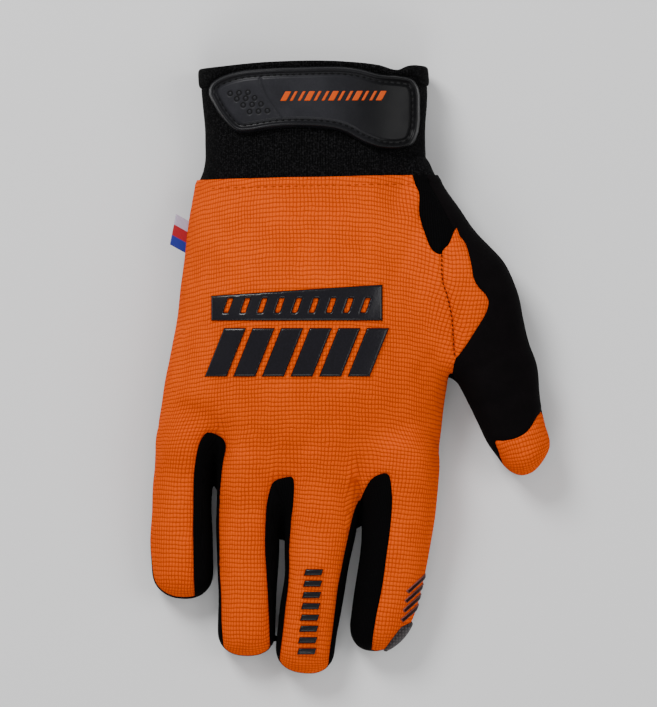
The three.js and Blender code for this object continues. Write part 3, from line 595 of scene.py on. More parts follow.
def add_mesh(name, points, faces, material, replaces=(), cloth=None):
    """A mesh piece that rides on the glove's body. `replaces` names the CAD nodes that it stands for, and
    `cloth` holds the three numbers a point that its material reads."""
    mesh = bpy.data.meshes.new(name)
    mesh.from_pydata(points.tolist(), [], faces.tolist())
    mesh.update()
    mesh.polygons.foreach_set("use_smooth", [True] * len(mesh.polygons))
    if cloth is not None:
        layer = mesh.attributes.new("cloth", "FLOAT_VECTOR", "POINT")
        layer.data.foreach_set("vector", np.ascontiguousarray(cloth, np.float32).ravel())
    mesh.materials.append(material)
    piece = add_object(name, mesh)
    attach(piece, "root")
    if replaces:
        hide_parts(*replaces)


def add_skin(name, top, bottom, faces, cloth, material, replaces=()):
    """A piece that is a closed skin between two layers with the same faces and the same cloth numbers."""
    n = len(top)
    rim = border_edges(faces)
    sides = [np.column_stack([rim[:, 1], rim[:, 0], rim[:, 0] + n]),
             np.column_stack([rim[:, 1], rim[:, 0] + n, rim[:, 1] + n])]
    add_mesh(name, np.vstack([top, bottom]), np.vstack([faces, faces[:, ::-1] + n] + sides), material,
             replaces, np.vstack([cloth, cloth]))


def add_camera():
    """Straight above the glove, at the photo's angle and framing."""
    view_height, away, middle = 254.5 * MM, 2.6, (6.7 * MM, -19.3 * MM)
    data = bpy.data.cameras.new("camera")
    data.sensor_width = 36
    data.lens = data.sensor_width * away / view_height
    data.clip_end = 20
    camera = add_object("camera", data)
    camera.location = (*middle, away + HAND_HEIGHT / 2)
    bpy.context.scene.camera = camera


# Lights that face the glove: place, size and power
LIGHTS = {
    "key": ((-0.6, 0.9, 0.95), (0.5, 0.5), 17),
    "fill": ((0.9, 0.1, 0.9), (0.8, 0.8), 5),
    "front": ((-0.1, -0.9, 0.9), (0.9, 0.5), 4),
}
SKY_STRENGTH = 0.4


def add_studio():
    mesh = bpy.data.meshes.new("floor")
    half = 3.0
    corners = [(-half, -half, 0), (half, -half, 0), (half, half, 0), (-half, half, 0)]
    mesh.from_pydata(corners, [], [(0, 1, 2, 3)])
    mesh.materials.append(plain_material("floor_white", (0.86, 0.86, 0.865), roughness=0.9))
    floor = add_object("floor", mesh)
    for name, (place, size, power) in LIGHTS.items():
        data = bpy.data.lights.new(name, "AREA")
        data.shape = "RECTANGLE"
        data.size, data.size_y = size
        data.energy = power
        light = add_object(name, data)
        light.location = place
        light.rotation_euler = (-Vector(place)).to_track_quat("-Z", "Y").to_euler()
    world = bpy.data.worlds.new("studio")
    world.use_nodes = True
    sky = world.node_tree.nodes["Background"].inputs
    sky["Color"].default_value = (1, 1, 1, 1)
    sky["Strength"].default_value = SKY_STRENGTH
    bpy.context.scene.world = world


# Materials

class Shader:
    """A small help to write node materials. A value is a number, a colour or another node's output."""

    def __init__(self, name):
        self.material = bpy.data.materials.new(name)
        self.material.use_nodes = True
        self.tree = self.material.node_tree

    def feed(self, inputs, values):
        """Sets or links inputs, from values by number or name."""
        for key, value in values.items():
            if isinstance(value, bpy.types.NodeSocket):
                self.tree.links.new(value, inputs[key])
            else:
                inputs[key].default_value = (*value, 1) if isinstance(value, tuple) else value

    def node(self, kind, values, **settings):
        """The outputs of a new node."""
        node = self.tree.nodes.new("ShaderNode" + kind)
        for key, value in settings.items():
            setattr(node, key, value)
        self.feed(node.inputs, values)
        return node.outputs

    def math(self, operation, *values):
        return self.node("Math", dict(enumerate(values)), operation=operation)[0]

    def times(self, a, b, plus=0.0):
        """a * b + plus."""
        return self.math("MULTIPLY_ADD", a, b, plus)

    def range(self, value, low, high, to_low=0.0, to_high=1.0):
        """A smooth change from to_low, up to where the value is low, to to_high, from where it is high."""
        values = dict(enumerate((value, low, high, to_low, to_high)))
        return self.node("MapRange", values, interpolation_type="SMOOTHSTEP")[0]

    def colour(self, factor, a, b):
        """Colour a where the factor is 0, and b where it is 1."""
        factor_input, a_input, b_input, output = 0, 6, 7, 2
        values = {factor_input: factor, a_input: a, b_input: b}
        return self.node("Mix", values, data_type="RGBA")[output]

    def noise(self, vector, scale, detail, roughness=0.6):
        values = {"Vector": vector, "Scale": scale, "Detail": detail, "Roughness": roughness}
        return self.node("TexNoise", values)[0]

    def place(self):
        return self.node("TexCoord", {})["Object"]

    def parts(self, vector):
        """The X, Y and Z of a vector."""
        return tuple(self.node("SeparateXYZ", {0: vector}))

    def cloth(self):
        """The piece's cloth numbers, whole and one by one: on cloth, its places across and along it."""
        vector = self.node("Attribute", {}, attribute_name="cloth")["Vector"]
        return vector, *self.parts(vector)

    def wave(self, value, pitch):
        """A ridge of height 1 for each pitch, falling to 0 between ridges."""
        return self.math("ABSOLUTE", self.math("SINE", self.times(value, math.pi / pitch)))

    def finish(self, colour, roughness, gloss=0.5, height=None, depth=0.0, strength=1.0):
        """The material, with a bump of some depth where a height is given."""
        values = {"Base Color": colour, "Roughness": roughness, "Specular IOR Level": gloss}
        if height is not None:
            bump = {"Strength": strength, "Distance": depth, "Height": height}
            values["Normal"] = self.node("Bump", bump)[0]
        self.feed(self.tree.nodes["Principled BSDF"].inputs, values)
        return self.material


def plain_material(name, colour, roughness, gloss=0.5):
    return Shader(name).finish(colour, roughness, gloss)


def waffle_material(name, bright, groove_shade_and_wear):
    """Stretch cloth with a fine waffle of raised cells, which turn to plain ribs in patches. Its grooves get
    painted shade.
    """
    column, row, wander = 1.3 * MM, 1.62 * MM, 1.6 * MM
    shader = Shader(name)
    vector, u, v, _ = shader.cloth()
    drift = shader.times(shader.noise(vector, scale=110, detail=3), wander)
    across = shader.wave(shader.math("ADD", u, drift), column)
    along = shader.wave(shader.math("ADD", v, drift), row)
    patchy = shader.noise(vector, scale=60, detail=2)
    crossing = shader.math("POWER", shader.times(across, along), 0.5)
    ribbed = shader.math("POWER", along, 0.6)
    kind = shader.range(patchy, 0.35, 0.6, 0.7, 1.0)
    cell = shader.times(crossing, kind, shader.times(ribbed, shader.math("SUBTRACT", 1.0, kind)))
    yarn = shader.noise(vector, scale=2600, detail=2)
    # Painted shade: the colour darkens into the waffle's grooves, with the bump; random worn patches lean to
    # the same darker colour
    tone = shader.times(yarn, 0.3, shader.range(cell, 0.15, 0.85, 0.0, 0.8))
    worn = shader.range(patchy, 0.35, 0.75, 0.0, 0.12)
    colour = shader.colour(worn, shader.colour(tone, groove_shade_and_wear, bright), groove_shade_and_wear)
    return shader.finish(colour, roughness=0.9, gloss=0.03, height=shader.times(yarn, 0.3, cell),
                         depth=0.28 * MM, strength=0.9)


def rib_material(name, dark, light, pitch, depth, speckle):
    """Fine ribs that run along the glove, with a share of pale specks of lint, and painted shade in the
    grooves between the ribs.
    """
    shader = Shader(name)
    _, u, v, _ = shader.cloth()
    height = shader.times(shader.wave(v, pitch * 0.8), 0.35, shader.wave(u, pitch))
    fuzz = shader.noise(shader.place(), scale=1500, detail=2, roughness=0.75)
    specks = shader.range(fuzz, 0.48, 0.68, 0.0, speckle)
    # Painted shade: darker in the ribs' grooves, lighter on their crests; the specks are lint
    tone = shader.times(height, 0.7 * (1 - speckle), specks)
    return shader.finish(shader.colour(tone, dark, light), roughness=0.9, gloss=0.04,
                         height=shader.times(fuzz, 0.5, height), depth=depth, strength=0.8)


def suede_material(name, dark, light):
    """A fine nap that lies in broad patches."""
    shader = Shader(name)
    place = shader.place()
    nap = shader.noise(place, scale=2600, detail=4, roughness=0.75)
    patches = shader.noise(place, scale=120, detail=3)
    tone = shader.times(patches, 0.5, shader.times(nap, 0.5))
    return shader.finish(shader.colour(tone, dark, light), roughness=0.92, gloss=0.03,
                         height=nap, depth=0.12 * MM, strength=0.5)


def rubber_material(name, dark, light, painted_shade_colour):
    """Moulded rubber, with painted shade on its rim, round the small rings and towards the thumb's side,
    where the strap curves away from the light. Its cloth numbers begin with the distances from the nearest
    ring and from the strap's edge."""
    shader = Shader(name)
    place = shader.place()
    grain = shader.noise(place, scale=1500, detail=3)
    broad = shader.noise(place, scale=90, detail=2)
    tone = shader.times(broad, 0.4, shader.times(grain, 0.4))
    _, from_ring, depth, _ = shader.cloth()
    off_ring = shader.math("ABSOLUTE", shader.math("SUBTRACT", from_ring, RING_RADIUS))
    # Painted shade: darker round each small ring, on the rim and towards the thumb's side
    ring = shader.range(off_ring, 0.1 * MM, 0.45 * MM, 0.85, 0.0)
    rim = shader.times(shader.range(depth, 2.6 * MM, 3.8 * MM, 1.0, 0.0), 0.6)
    thumb_side_shade = shader.range(shader.parts(place)[0], 2 * MM, 30 * MM, 0.0, 0.85)
    shade = shader.math("MAXIMUM", ring, shader.math("MAXIMUM", rim, thumb_side_shade))
    dull = shader.times(ring, 0.4, shader.range(broad, 0.3, 0.7, 0.3, 0.42))
    return shader.finish(shader.colour(shade, shader.colour(tone, dark, light), painted_shade_colour), roughness=dull,
                         gloss=0.15, height=grain, depth=0.05 * MM, strength=0.4)


def speckled_material(name, dark, light, scale, roughness, gloss, bump=0.0):
    """Two colours mixed by fine specks, which stand out by a bump."""
    shader = Shader(name)
    speck = shader.noise(shader.place(), scale, detail=2)
    return shader.finish(shader.colour(speck, dark, light), roughness, gloss,
                         height=speck if bump else None, depth=bump, strength=0.5)


def silicone_material(name, painted_highlight_colour, flat_colour):
    """Raised silicone with a painted highlight on its rounded edge. Its cloth numbers rise from 0 at the edge
    to 1.
    """
    shader = Shader(name)
    _, edge, _, _ = shader.cloth()
    fine = shader.noise(shader.place(), scale=1800, detail=2)
    flat = shader.colour(fine, flat_colour, tuple(2 * c for c in flat_colour))
    # The rounded edge takes the pale painted highlight colour
    return shader.finish(shader.colour(shader.range(edge, 0.55, 0.98), painted_highlight_colour, flat), roughness=0.5,
                         gloss=0.1, height=fine, depth=0.04 * MM, strength=0.4)


def grip_material(name, dark, light):
    """Dull silicone with rows of small dots, painted lighter on the raised dots and darker between them as
    painted light and shade.
    """
    pitch = 1.1 * MM
    shader = Shader(name)
    place = shader.place()
    x, y, _ = shader.parts(place)
    dots = shader.times(shader.wave(x, pitch), shader.wave(y, pitch))
    fine = shader.noise(place, scale=1500, detail=3)
    # Painted light and shade: lighter on the raised dots, darker between them
    tone = shader.times(fine, 0.3, shader.range(dots, 0.3, 0.7, 0.0, 0.7))
    return shader.finish(shader.colour(tone, dark, light), roughness=0.5, gloss=0.2,
                         height=dots, depth=0.15 * MM, strength=0.7)


def ribbon_material(name, upper, middle, lower, groove):
    """Ribbed ribbon with three stripes, with painted shade in the grooves between its ribs."""
    shader = Shader(name)
    _, u, v, _ = shader.cloth()
    rib = shader.wave(u, 0.5 * MM)
    upper_two = shader.colour(shader.range(v, -0.17, -0.15), upper, middle)
    stripes = shader.colour(shader.range(v, 0.17, 0.19), upper_two, lower)
    # The groove colour is painted shade between the ribs
    return shader.finish(shader.colour(shader.times(rib, 0.35, 0.65), groove, stripes), roughness=0.75,
                         gloss=0.2, height=rib, depth=0.08 * MM, strength=0.6)


# The second colour is painted shade for the waffle's grooves and the tone of the worn patches
ORANGE = waffle_material("orange_waffle", (0.86, 0.098, 0.0), (0.45, 0.036, 0.0))
SUEDE = suede_material("black_suede", (0.0008, 0.0007, 0.0008), (0.0072, 0.0058, 0.0064))
STRETCH = rib_material("black_stretch", (0.0006, 0.0006, 0.0007), (0.003, 0.0028, 0.0032),
                       pitch=0.8 * MM, depth=0.1 * MM, speckle=0.3)
KNIT = rib_material("black_knit", (0.0003, 0.0003, 0.0004), (0.014, 0.0136, 0.0144),
                    pitch=0.95 * MM, depth=0.2 * MM, speckle=0.75)
# The last colour is the painted shade on the rim, round the rings and towards the thumb's side
RUBBER = rubber_material("strap_rubber", (0.009, 0.009, 0.011), (0.036, 0.036, 0.042),
                         painted_shade_colour=(0.0003, 0.0003, 0.0004))
GLOSS = speckled_material("print_gloss", (0.001, 0.0008, 0.002), (0.008, 0.007, 0.012),
                          scale=1400, roughness=0.25, gloss=0.35, bump=0.08 * MM)
# The first colour is the painted highlight on the stripes' rounded edges
SILICONE = silicone_material("silicone", (0.2, 0.055, 0.045), (0.009, 0.002, 0.002))
GRIP = grip_material("grip_silicone", (0.012, 0.009, 0.01), (0.065, 0.052, 0.054))
# The groove colour is painted shade between the ribbon's ribs
RIBBON = ribbon_material("striped_ribbon", (0.5, 0.43, 0.56), (0.42, 0.012, 0.02), (0.02, 0.03, 0.3),
                         groove=(0.02, 0.02, 0.03))
PAINT = plain_material("orange_paint", (0.62, 0.075, 0.0), roughness=0.5, gloss=0.2)
THREAD_LOOK = {"scale": 4000, "roughness": 0.7, "gloss": 0.15}
THREAD_ORANGE = speckled_material("orange_thread", (0.2, 0.02, 0.0), (0.62, 0.07, 0.0), **THREAD_LOOK)
THREAD_BLACK = speckled_material("black_thread", (0.001, 0.001, 0.001), (0.006, 0.006, 0.007), **THREAD_LOOK)
THREAD_DARK = speckled_material("dark_thread", (0.02, 0.003, 0.0), (0.12, 0.012, 0.0), **THREAD_LOOK)


# The shell

def strap_points(along, offset):
    """Points of the plan from shares of the strap's length and width."""
    return STRAP_ROOT + np.column_stack([along * STRAP_LENGTH, offset * STRAP_WIDTH])


STRAP_SIDES = {side: strap_points(STRAP_EDGES["along"], STRAP_EDGES[side]) for side in ("high", "low")}
STRAP_OUTLINE = np.vstack([smooth_line(STRAP_SIDES["low"], 70), smooth_line(STRAP_SIDES["high"], 70)[::-1]])
STRAP_TAB = smooth_line(strap_points(TAB_LINE["along"], TAB_LINE["offset"]), 40)

# Folds in the cloth: place as shares of the hand's width and length, the way they run in degrees,
# half lengths and half widths, and depths, in millimetres
FOLDS = columns("across along angle reach width depth", [
    (0.30, 0.44, 62, 16, 3.0, 0.35),
    (0.36, 0.36, 70, 13, 2.4, 0.3),
    (-0.30, 0.33, -70, 15, 3.0, 0.25),
    (-0.38, 0.5, -82, 20, 3.0, 0.25),
    (0.12, 0.3, 10, 22, 3.5, 0.18),
    (-0.02, 0.8, 4, 13, 2.4, 0.3),
    (0.32, 0.82, 8, 10, 2.2, 0.3),
    (-0.24, 0.8, -6, 10, 2.2, 0.3),
    (0.63, 0.62, 25, 9, 2.0, 0.45),
    (0.66, 0.7, 20, 9, 2.0, 0.35),
    (0.53, 0.51, 82, 10, 1.6, 0.35),
    (0.152, 0.873, -66, 6, 2.8, -1.1),
    (0.49, 0.43, -75, 9, 1.5, 0.25),
    (0.41, 0.62, 55, 12, 2.2, 0.25),
])
# Soft waves: how high, and each of the two waves that are multiplied, as radians a metre along X and Y
# and a start in radians
WAVES = [
    (0.14 * MM, (190, 70, 0.0), (-60, 150, 1.3)),
    (0.084 * MM, (90, -330, 0.4), (260, 0, 0.8)),
]
# The least height of any point of the cloth, so that none lies in the floor
LEAST_HEIGHT = 0.02 * MM


def relief(points):
    """How far the cloth stands off the plain form: soft waves and folds, which fade out at the floor."""
    fade_start, fade_end = 1 * MM, 6 * MM
    x, y, z = points.T
    height = 0
    for size, *pair in WAVES:
        first, second = (np.sin(x * along_x + y * along_y + start) for along_x, along_y, start in pair)
        height = height + size * first * second
    for across, along, angle, reach, width, depth in zip(*FOLDS.values()):
        centre, run = hand_point(across, along), direction(angle)
        u = (x - centre[0]) * run[0] + (y - centre[1]) * run[1]
        v = -(x - centre[0]) * run[1] + (y - centre[1]) * run[0]
        height = height - depth * MM * bell(u, reach * MM) * bell(v, width * MM) * (z > fade_end)
    return height * step_up(z, fade_start, fade_end)


def shell_relief(points, cuff_part):
    """The relief of the outer skin, with the hem's step and the binding's roll."""
    hem_width, hem_rise, hem_groove, groove_width = 4.2 * MM, 0.35 * MM, 0.3 * MM, 0.7 * MM
    cuff_dip, dip_reach = 0.55 * MM, 6 * MM
    height = relief(points)
    above = above_hem(points)
    if cuff_part:
        height -= cuff_dip * (1 - step_up(np.maximum(above, 0), 0, dip_reach))
    else:
        below = np.maximum(-above, 0)
        height += hem_rise * (1 - step_up(below, hem_width * 0.8, hem_width))
        height -= hem_groove * bell(below - HEM_STITCH_LINE, groove_width)
    rise = np.clip((points[:, 1] - binding_line(points[:, 0])) / BINDING_WIDTH, 0, 1)
    under_strap = step_up(-outline_distance(points[:, :2], STRAP_OUTLINE), -1.5 * MM, 0.5 * MM)
    on_back = points[:, 2] > HAND_HEIGHT * HAND_WAIST
    roll = BINDING_PROUD * np.clip(1 - np.abs(2 * rise - 1) ** 4, 0, 1) ** 0.5
    return height + np.where(rise > 0, roll * (1 - under_strap * on_back), 0)


def side_share(offset, reach):
    """From -1 on one side of a middle line to 1 on the other."""
    return np.clip(offset / reach, -1, 1)


def cloth_coordinates(points):
    """Across and along the cloth, so that a weave keeps its pitch over a rounded side."""
    droop, underside = 6 * MM, 3 * MM
    x, y, z = points.T
    at = ORIGIN_SHARE - y / HAND_LENGTH
    left, right = (HAND_SHAPE[side](at) * HAND_WIDTH for side in ("left", "right"))
    down = np.clip(HAND_SHAPE["top"](at) * HAND_HEIGHT - z, 0, None) * (z > underside)
    aside = np.clip((x - (left + right) / 2) / (right - left) * 2, -1.1, 1.1)
    u = x + side_share(aside, 0.4) * down
    v = y + droop * np.abs(aside) ** 2.5 * step_up(-at, -0.95, -0.75)
    for digit in DIGITS:
        along, across = digit.local(points)
        left, right = (digit.shape[side](along) * digit.width for side in ("left", "right"))
        offset, half = across - (left + right) / 2, (right - left) / 2
        fall = np.clip(digit.shape["top"](along) * digit.height - z, 0, None)
        tip = step_up(along, 0.9, 1.0)
        begins = (0.72, 0.8) if digit is THUMB else (-0.1, 0.4)
        own = step_up(along, *begins) * (1 - step_up(np.abs(offset), 1.1 * half, 1.5 * half))
        own_u = digit.root[0] + across + side_share(offset, 0.4 * half) * fall * (1 - tip)
        own_v = digit.root[1] - along * digit.length - fall * tip
        u = u * (1 - own) + own_u * own
        v = v * (1 - own) + own_v * own
    return np.column_stack([u, v, z])


def build_surface():
    """The glove's outer surface as points and faces."""
    step = 1.0 * MM
    low, high = np.array([-66, -140, -3]) * MM, np.array([96, 92, 40]) * MM
    counts = np.ceil((high - low) / step).astype(int)
    axes = [low[i] + step * np.arange(counts[i]) for i in range(3)]
    grid = np.stack(np.meshgrid(*axes, indexing="ij"), axis=-1).reshape(-1, 3)
    points, quads = surface_net(form(grid).reshape(counts), low, step)
    faces = np.vstack([quads[:, :3], quads[:, [0, 2, 3]]])
    for _ in range(3):
        points = points - form(points)[:, None] * point_normals(points, faces)
    return points, faces


def cut_along_seams(points, faces):
    """The surface with an edge along every seam."""
    fields = [above_palm, above_hem,
              lambda p: p[:, 1] - binding_line(p[:, 0]),
              lambda p: p[:, 1] - mouth_line(p[:, 0])]
    fields += [lambda p, o=outline: outline_distance(p[:, :2], o) for outline in PANELS.values()]
    for field in fields:
        points, faces = cut(points, faces, field)
    return points, faces


def face_panels(centres):
    """The name of the panel that each face belongs to."""
    names = np.full(len(centres), "back_panel", dtype=object)
    for name, outline in reversed(PANELS.items()):
        names[outline_distance(centres[:, :2], outline) < 0] = name
    names[above_palm(centres) < 0] = "palm_panel"
    names[above_hem(centres) > 0] = "cuff"
    names[centres[:, 1] > binding_line(centres[:, 0])] = "cuff_binding"
    names[centres[:, 1] > mouth_line(centres[:, 0])] = "none"
    return names


# The material and the panels of each slot
PANEL_LOOKS = {
    "orange_stretch": (ORANGE, ["back_panel", "thumb_gusset", "thumb_tip_panel"]),
    "black_suede": (SUEDE, ["thumb_panel", "palm_panel"]),
    "black_stretch": (STRETCH, [*FOURCHETTES, "wrist_gusset"]),
    "black_knit": (KNIT, ["cuff", "cuff_binding"]),
}


def seam_distance(points, faces):
    """How far each point lies from the edge of its panel."""
    rim = np.unique(border_edges(faces))
    tree = kdtree.KDTree(len(rim))
    for number, place in enumerate(points[rim]):
        tree.insert(place, number)
    tree.balance()
    return np.array([tree.find(p)[2] for p in points])


def build_panels(surface):
    """Each panel as a wall of its own, pulled in along its seams."""
    wall, groove_depth, groove_width = 1.3 * MM, 0.5 * MM, 1.0 * MM
    points, faces = cut_along_seams(*surface)
    names = face_panels(points[faces].mean(axis=1))
    normals = point_normals(points, faces)
    layers = {}
    for cuff_part in (False, True):
        layers[cuff_part] = points + normals * shell_relief(points, cuff_part)[:, None]
        layers[cuff_part][:, 2] = np.maximum(layers[cuff_part][:, 2], LEAST_HEIGHT)
    for slot, (material, panels) in PANEL_LOOKS.items():
        for name in panels:
            used, local = compact(faces[names == name])
            top, out = layers[name.startswith("cuff")][used], normals[used]
            groove = groove_depth * bell(seam_distance(top, local), groove_width)
            top = top - out * (groove * (above_hem(top) < -2 * MM))[:, None]
            bottom = top - out * wall
            for layer in (top, bottom):
                layer[:, 2] = np.maximum(layer[:, 2], LEAST_HEIGHT)
            cloth = cloth_coordinates(points[used])
            add_skin(name + "_cloth", top, bottom, local, cloth, material, [name])


# What lies on the shell

def plan_grid(low, high, step):
    xs, ys = (np.arange(low[k], high[k] + step, step) for k in range(2))
    x, y = np.meshgrid(xs, ys, indexing="ij")
    return np.column_stack([x.ravel(), y.ravel(), np.zeros(x.size)]), grid_faces(len(xs), len(ys))


def add_layer(name, outline, step, height, material, replaces=(), inside=None, seat=SEAT * 0.2,
              follows=1.0):
    """A piece that lies on the shell, within an outline of the plan or where `inside` is negative. `height`
    gives its thickness from points of the plan and their distances to its edge, `seat` is the gap under it,
    and `follows` is the share of the cloth's relief that it follows. Its cloth numbers are the distances
    from the nearest ring and from its edge, and that relief."""
    inside = inside or (lambda p: outline_distance(p, outline))
    margin = 2 * step
    points, faces = plan_grid(outline.min(axis=0) - margin, outline.max(axis=0) + margin, step)
    points, faces = cut(points, faces, lambda p: inside(p[:, :2]))
    used, faces = compact(faces[inside(points[faces].mean(axis=1)[:, :2]) < 0])
    plan = points[used][:, :2]
    depth = -inside(plan)
    lift = relief(drop(plan)) * follows
    top, bottom = drop(plan, lift + SEAT + height(plan, depth)), drop(plan, lift + seat)
    cloth = np.column_stack([nearest(plan, RING_PLACES), depth, lift])
    add_skin(name, top, bottom, faces, cloth, material, replaces)


def strap_height(plan, depth):
    """The strap's profile from its edge inwards: a raised rim, a groove and a pad, with the tab's line
    and the small rings pressed in."""
    base, edge_round = 1.9 * MM, 1.0 * MM
    rim, rim_middle, rim_half = 1.0 * MM, 1.25 * MM, 1.3 * MM
    pad, pad_start, pad_end = 0.45 * MM, 3.1 * MM, 3.9 * MM
    tab_depth, tab_width, ring_depth, ring_width = 0.6 * MM, 0.4 * MM, 0.2 * MM, 0.35 * MM
    bead = np.cos(np.clip((depth - rim_middle) / rim_half, -1, 1) * math.pi / 2) ** 2
    tab = bell(nearest(plan, STRAP_TAB), tab_width) * tab_depth * step_up(depth, 2.8 * MM, 4 * MM)
    rings = ring_depth * bell(nearest(plan, RING_PLACES) - RING_RADIUS, ring_width)
    outer = base * rounded(depth / edge_round) + rim * bead
    return outer + pad * step_up(depth, pad_start, pad_end) - tab - rings


def add_strap():
    step = 0.33 * MM
    add_layer("strap_rubber", STRAP_OUTLINE, step, strap_height, RUBBER, ["strap"],
              seat=SEAT, follows=0.0)


def height_on_strap(plan):
    return strap_height(plan, -outline_distance(plan, STRAP_OUTLINE))


def on_strap(plan):
    """Points on the strap's upper face, with their normals."""
    h = 0.4 * MM

    def top(p):
        return drop(p, SEAT + height_on_strap(p))

    slopes = [(top(plan + s)[:, 2] - top(plan - s)[:, 2]) / (2 * h) for s in np.eye(2) * h]
    normal = np.column_stack([-slopes[0], -slopes[1], np.ones(len(plan))])
    return top(plan), normal / np.linalg.norm(normal, axis=1)[:, None]


def on_cloth(plan):
    """Points on the shell's cloth, with their normals."""
    base = drop(plan)
    normals = outward(base)
    return base + normals * shell_relief(base, False)[:, None], normals


def stitch(length, radius):
    """A short raised stitch along Y, its ends drawn into the cloth."""
    rings, sides = 7, 6
    u, v = np.meshgrid(np.linspace(-1, 1, rings), np.arange(sides), indexing="ij")
    size = radius * np.sqrt(np.clip(1.02 - np.abs(u) ** 3, 0.05, 1))
    turn = 2 * math.pi * v / sides
    height = size * np.sin(turn) - radius * 0.9 * u**2
    points = np.stack([size * np.cos(turn), u * length / 2, height], axis=-1).reshape(-1, 3)
    last = (rings - 1) * sides
    caps = [[0, k + 1, k] for k in range(1, sides - 1)]
    caps += [[last, last + k, last + k + 1] for k in range(1, sides - 1)]
    return points, np.vstack([grid_faces(rings, sides, closed=True)[:, ::-1], caps])


def frame_on(normal, along):
    """Three axes at a point of a surface: across, along and out of it."""
    across = np.cross(along, normal)
    across = across / np.linalg.norm(across)
    return np.array([across, np.cross(normal, across), normal])


def add_stitches(name, line, surface, material, pitch=2.7 * MM, length=2.0 * MM, radius=0.2 * MM):
    """Stitches along a line of the plan, on a surface, as one piece."""
    ahead = 0.2 * MM
    run = np.concatenate([[0], np.cumsum(np.linalg.norm(np.diff(line, axis=0), axis=1))])
    at = np.arange(pitch / 2, run[-1], pitch)
    plan, next_plan = (np.column_stack([np.interp(places, run, line[:, k]) for k in range(2)])
                       for places in (at, at + ahead))
    base, normals = surface(plan)
    base = base + normals * radius * 0.35
    shape, shape_faces = stitch(length, radius)
    points, faces = [], []
    for p, n, way in zip(base, normals, next_plan - plan):
        way = np.append(way, 0)
        way = way - n * (way @ n)
        faces.append(shape_faces + len(points) * len(shape))
        points.append(shape @ frame_on(n, way / (np.linalg.norm(way) + 1e-12)) + p)
    add_mesh(name, np.vstack(points), np.vstack(faces), material)


def strap_inset(distance):
    """A closed line of the plan inside the strap's outline, which moves towards the strap's middle line."""
    steps, end_room = 8, 13 * MM
    line = STRAP_OUTLINE
    spine = (STRAP_SIDES["high"] + STRAP_SIDES["low"]) / 2
    middle_x = np.clip(line[:, 0], line[:, 0].min() + end_room, line[:, 0].max() - end_room)
    way = np.column_stack([middle_x, np.interp(middle_x, *spine.T)]) - line
    way = way / np.linalg.norm(way, axis=1)[:, None]
    moved = line.copy()
    for _ in range(steps):
        moved = moved + way * (distance + outline_distance(moved, line))[:, None]
    return moved


def add_strap_marks():
    """The strap's groove stitches and a row of slanted dashes printed on it."""
    groove_line = 2.75 * MM
    dashes, wide, narrow, high, slant, proud = 13, 3.4 * 0.62, 1.6 * 0.62, 3.4 * MM, 0.55, 0.06 * MM
    first, to_next = np.array([-8.6, 72.9]), np.array([2.85, 0.02])
    add_stitches("strap_groove_stitches", strap_inset(groove_line), on_strap, THREAD_BLACK,
                 pitch=2.3 * MM, length=1.5 * MM, radius=0.24 * MM)
    for i in range(dashes):
        width = (narrow if i % 3 else wide) * MM
        outline = leaning_block((first + to_next * i) * MM, width, high, slant)
        add_layer(f"strap_dash_{i + 1}", outline, 0.3 * MM, lambda plan, _: height_on_strap(plan) + proud,
                  PAINT, seat=1.2 * MM, follows=0.0)


def add_seam_stitches():
    """The hem's stitches and those of the seam beside the thumb's gusset."""
    xs = np.linspace(-36 * MM, 36.5 * MM, 80)
    hem = np.column_stack([xs, hem_line(xs) - HEM_STITCH_LINE])
    add_stitches("hem_stitches", hem, on_cloth, THREAD_ORANGE)
    seam = smooth_line(hand_points(THUMB_GUSSET[:6]), 60)
    add_stitches("gusset_stitches", seam, on_cloth, THREAD_DARK,
                 pitch=1.7 * MM, length=1.1 * MM, radius=0.22 * MM)


def leaning_block(centre, width, height, slant):
    shift = slant * height / 2
    corners = [(-width / 2 - shift, -height / 2), (width / 2 - shift, -height / 2),
               (width / 2 + shift, height / 2), (-width / 2 + shift, height / 2)]
    return np.array(centre) + np.array(corners)


PRINT_THICKNESS = 0.7 * MM
PRINT_WIDTH = 61.5 * MM
PRINT_PLACE = hand_point(-0.045, 0.534)


def add_print(name, node, outline, step, bevel, inside=None):
    """Raised glossy print with a rounded edge."""
    add_layer(name, outline, step, lambda _, depth: PRINT_THICKNESS * rounded(depth / bevel), GLOSS,
              [node], inside)


def add_back_prints():
    """A slotted bar and a row of leaning blocks."""
    bar_left, bar_right, block_height, gap = 9 * MM, 13 * MM, 17.4 * MM, 2.6 * MM
    slots, slot_width, slot_height, slot_slant = 9, 1.7 * MM, 5 * MM, 0.35
    blocks, block_gap, block_slant = 6, 2.3 * MM, 0.4
    half, step, bevel = PRINT_WIDTH / 2, 0.5 * MM, 0.5 * MM

    def row_places(count, pitch, y):
        return [(PRINT_PLACE[0] + (i - (count - 1) / 2) * pitch, y) for i in range(count)]

    bar = PRINT_PLACE + np.array([(-half, 0), (half, 0), (half, bar_right), (-half, bar_left)])
    places = row_places(slots, PRINT_WIDTH / (slots + 1), PRINT_PLACE[1] + (bar_left + bar_right) / 4)
    holes = [leaning_block(place, slot_width, slot_height, slot_slant) for place in places]

    def inside_bar(plan):
        return np.max([outline_distance(plan, bar)] + [-outline_distance(plan, h) for h in holes], axis=0)

    add_print("back_bar", "print_bar", bar, step, bevel, inside_bar)
    pitch = PRINT_WIDTH / blocks
    for i, place in enumerate(row_places(blocks, pitch, PRINT_PLACE[1] - gap - block_height / 2)):
        outline = leaning_block(place, pitch - block_gap, block_height, block_slant)
        add_print(f"back_block_{i + 1}", f"print_block_{i + 1}", outline, step, bevel)


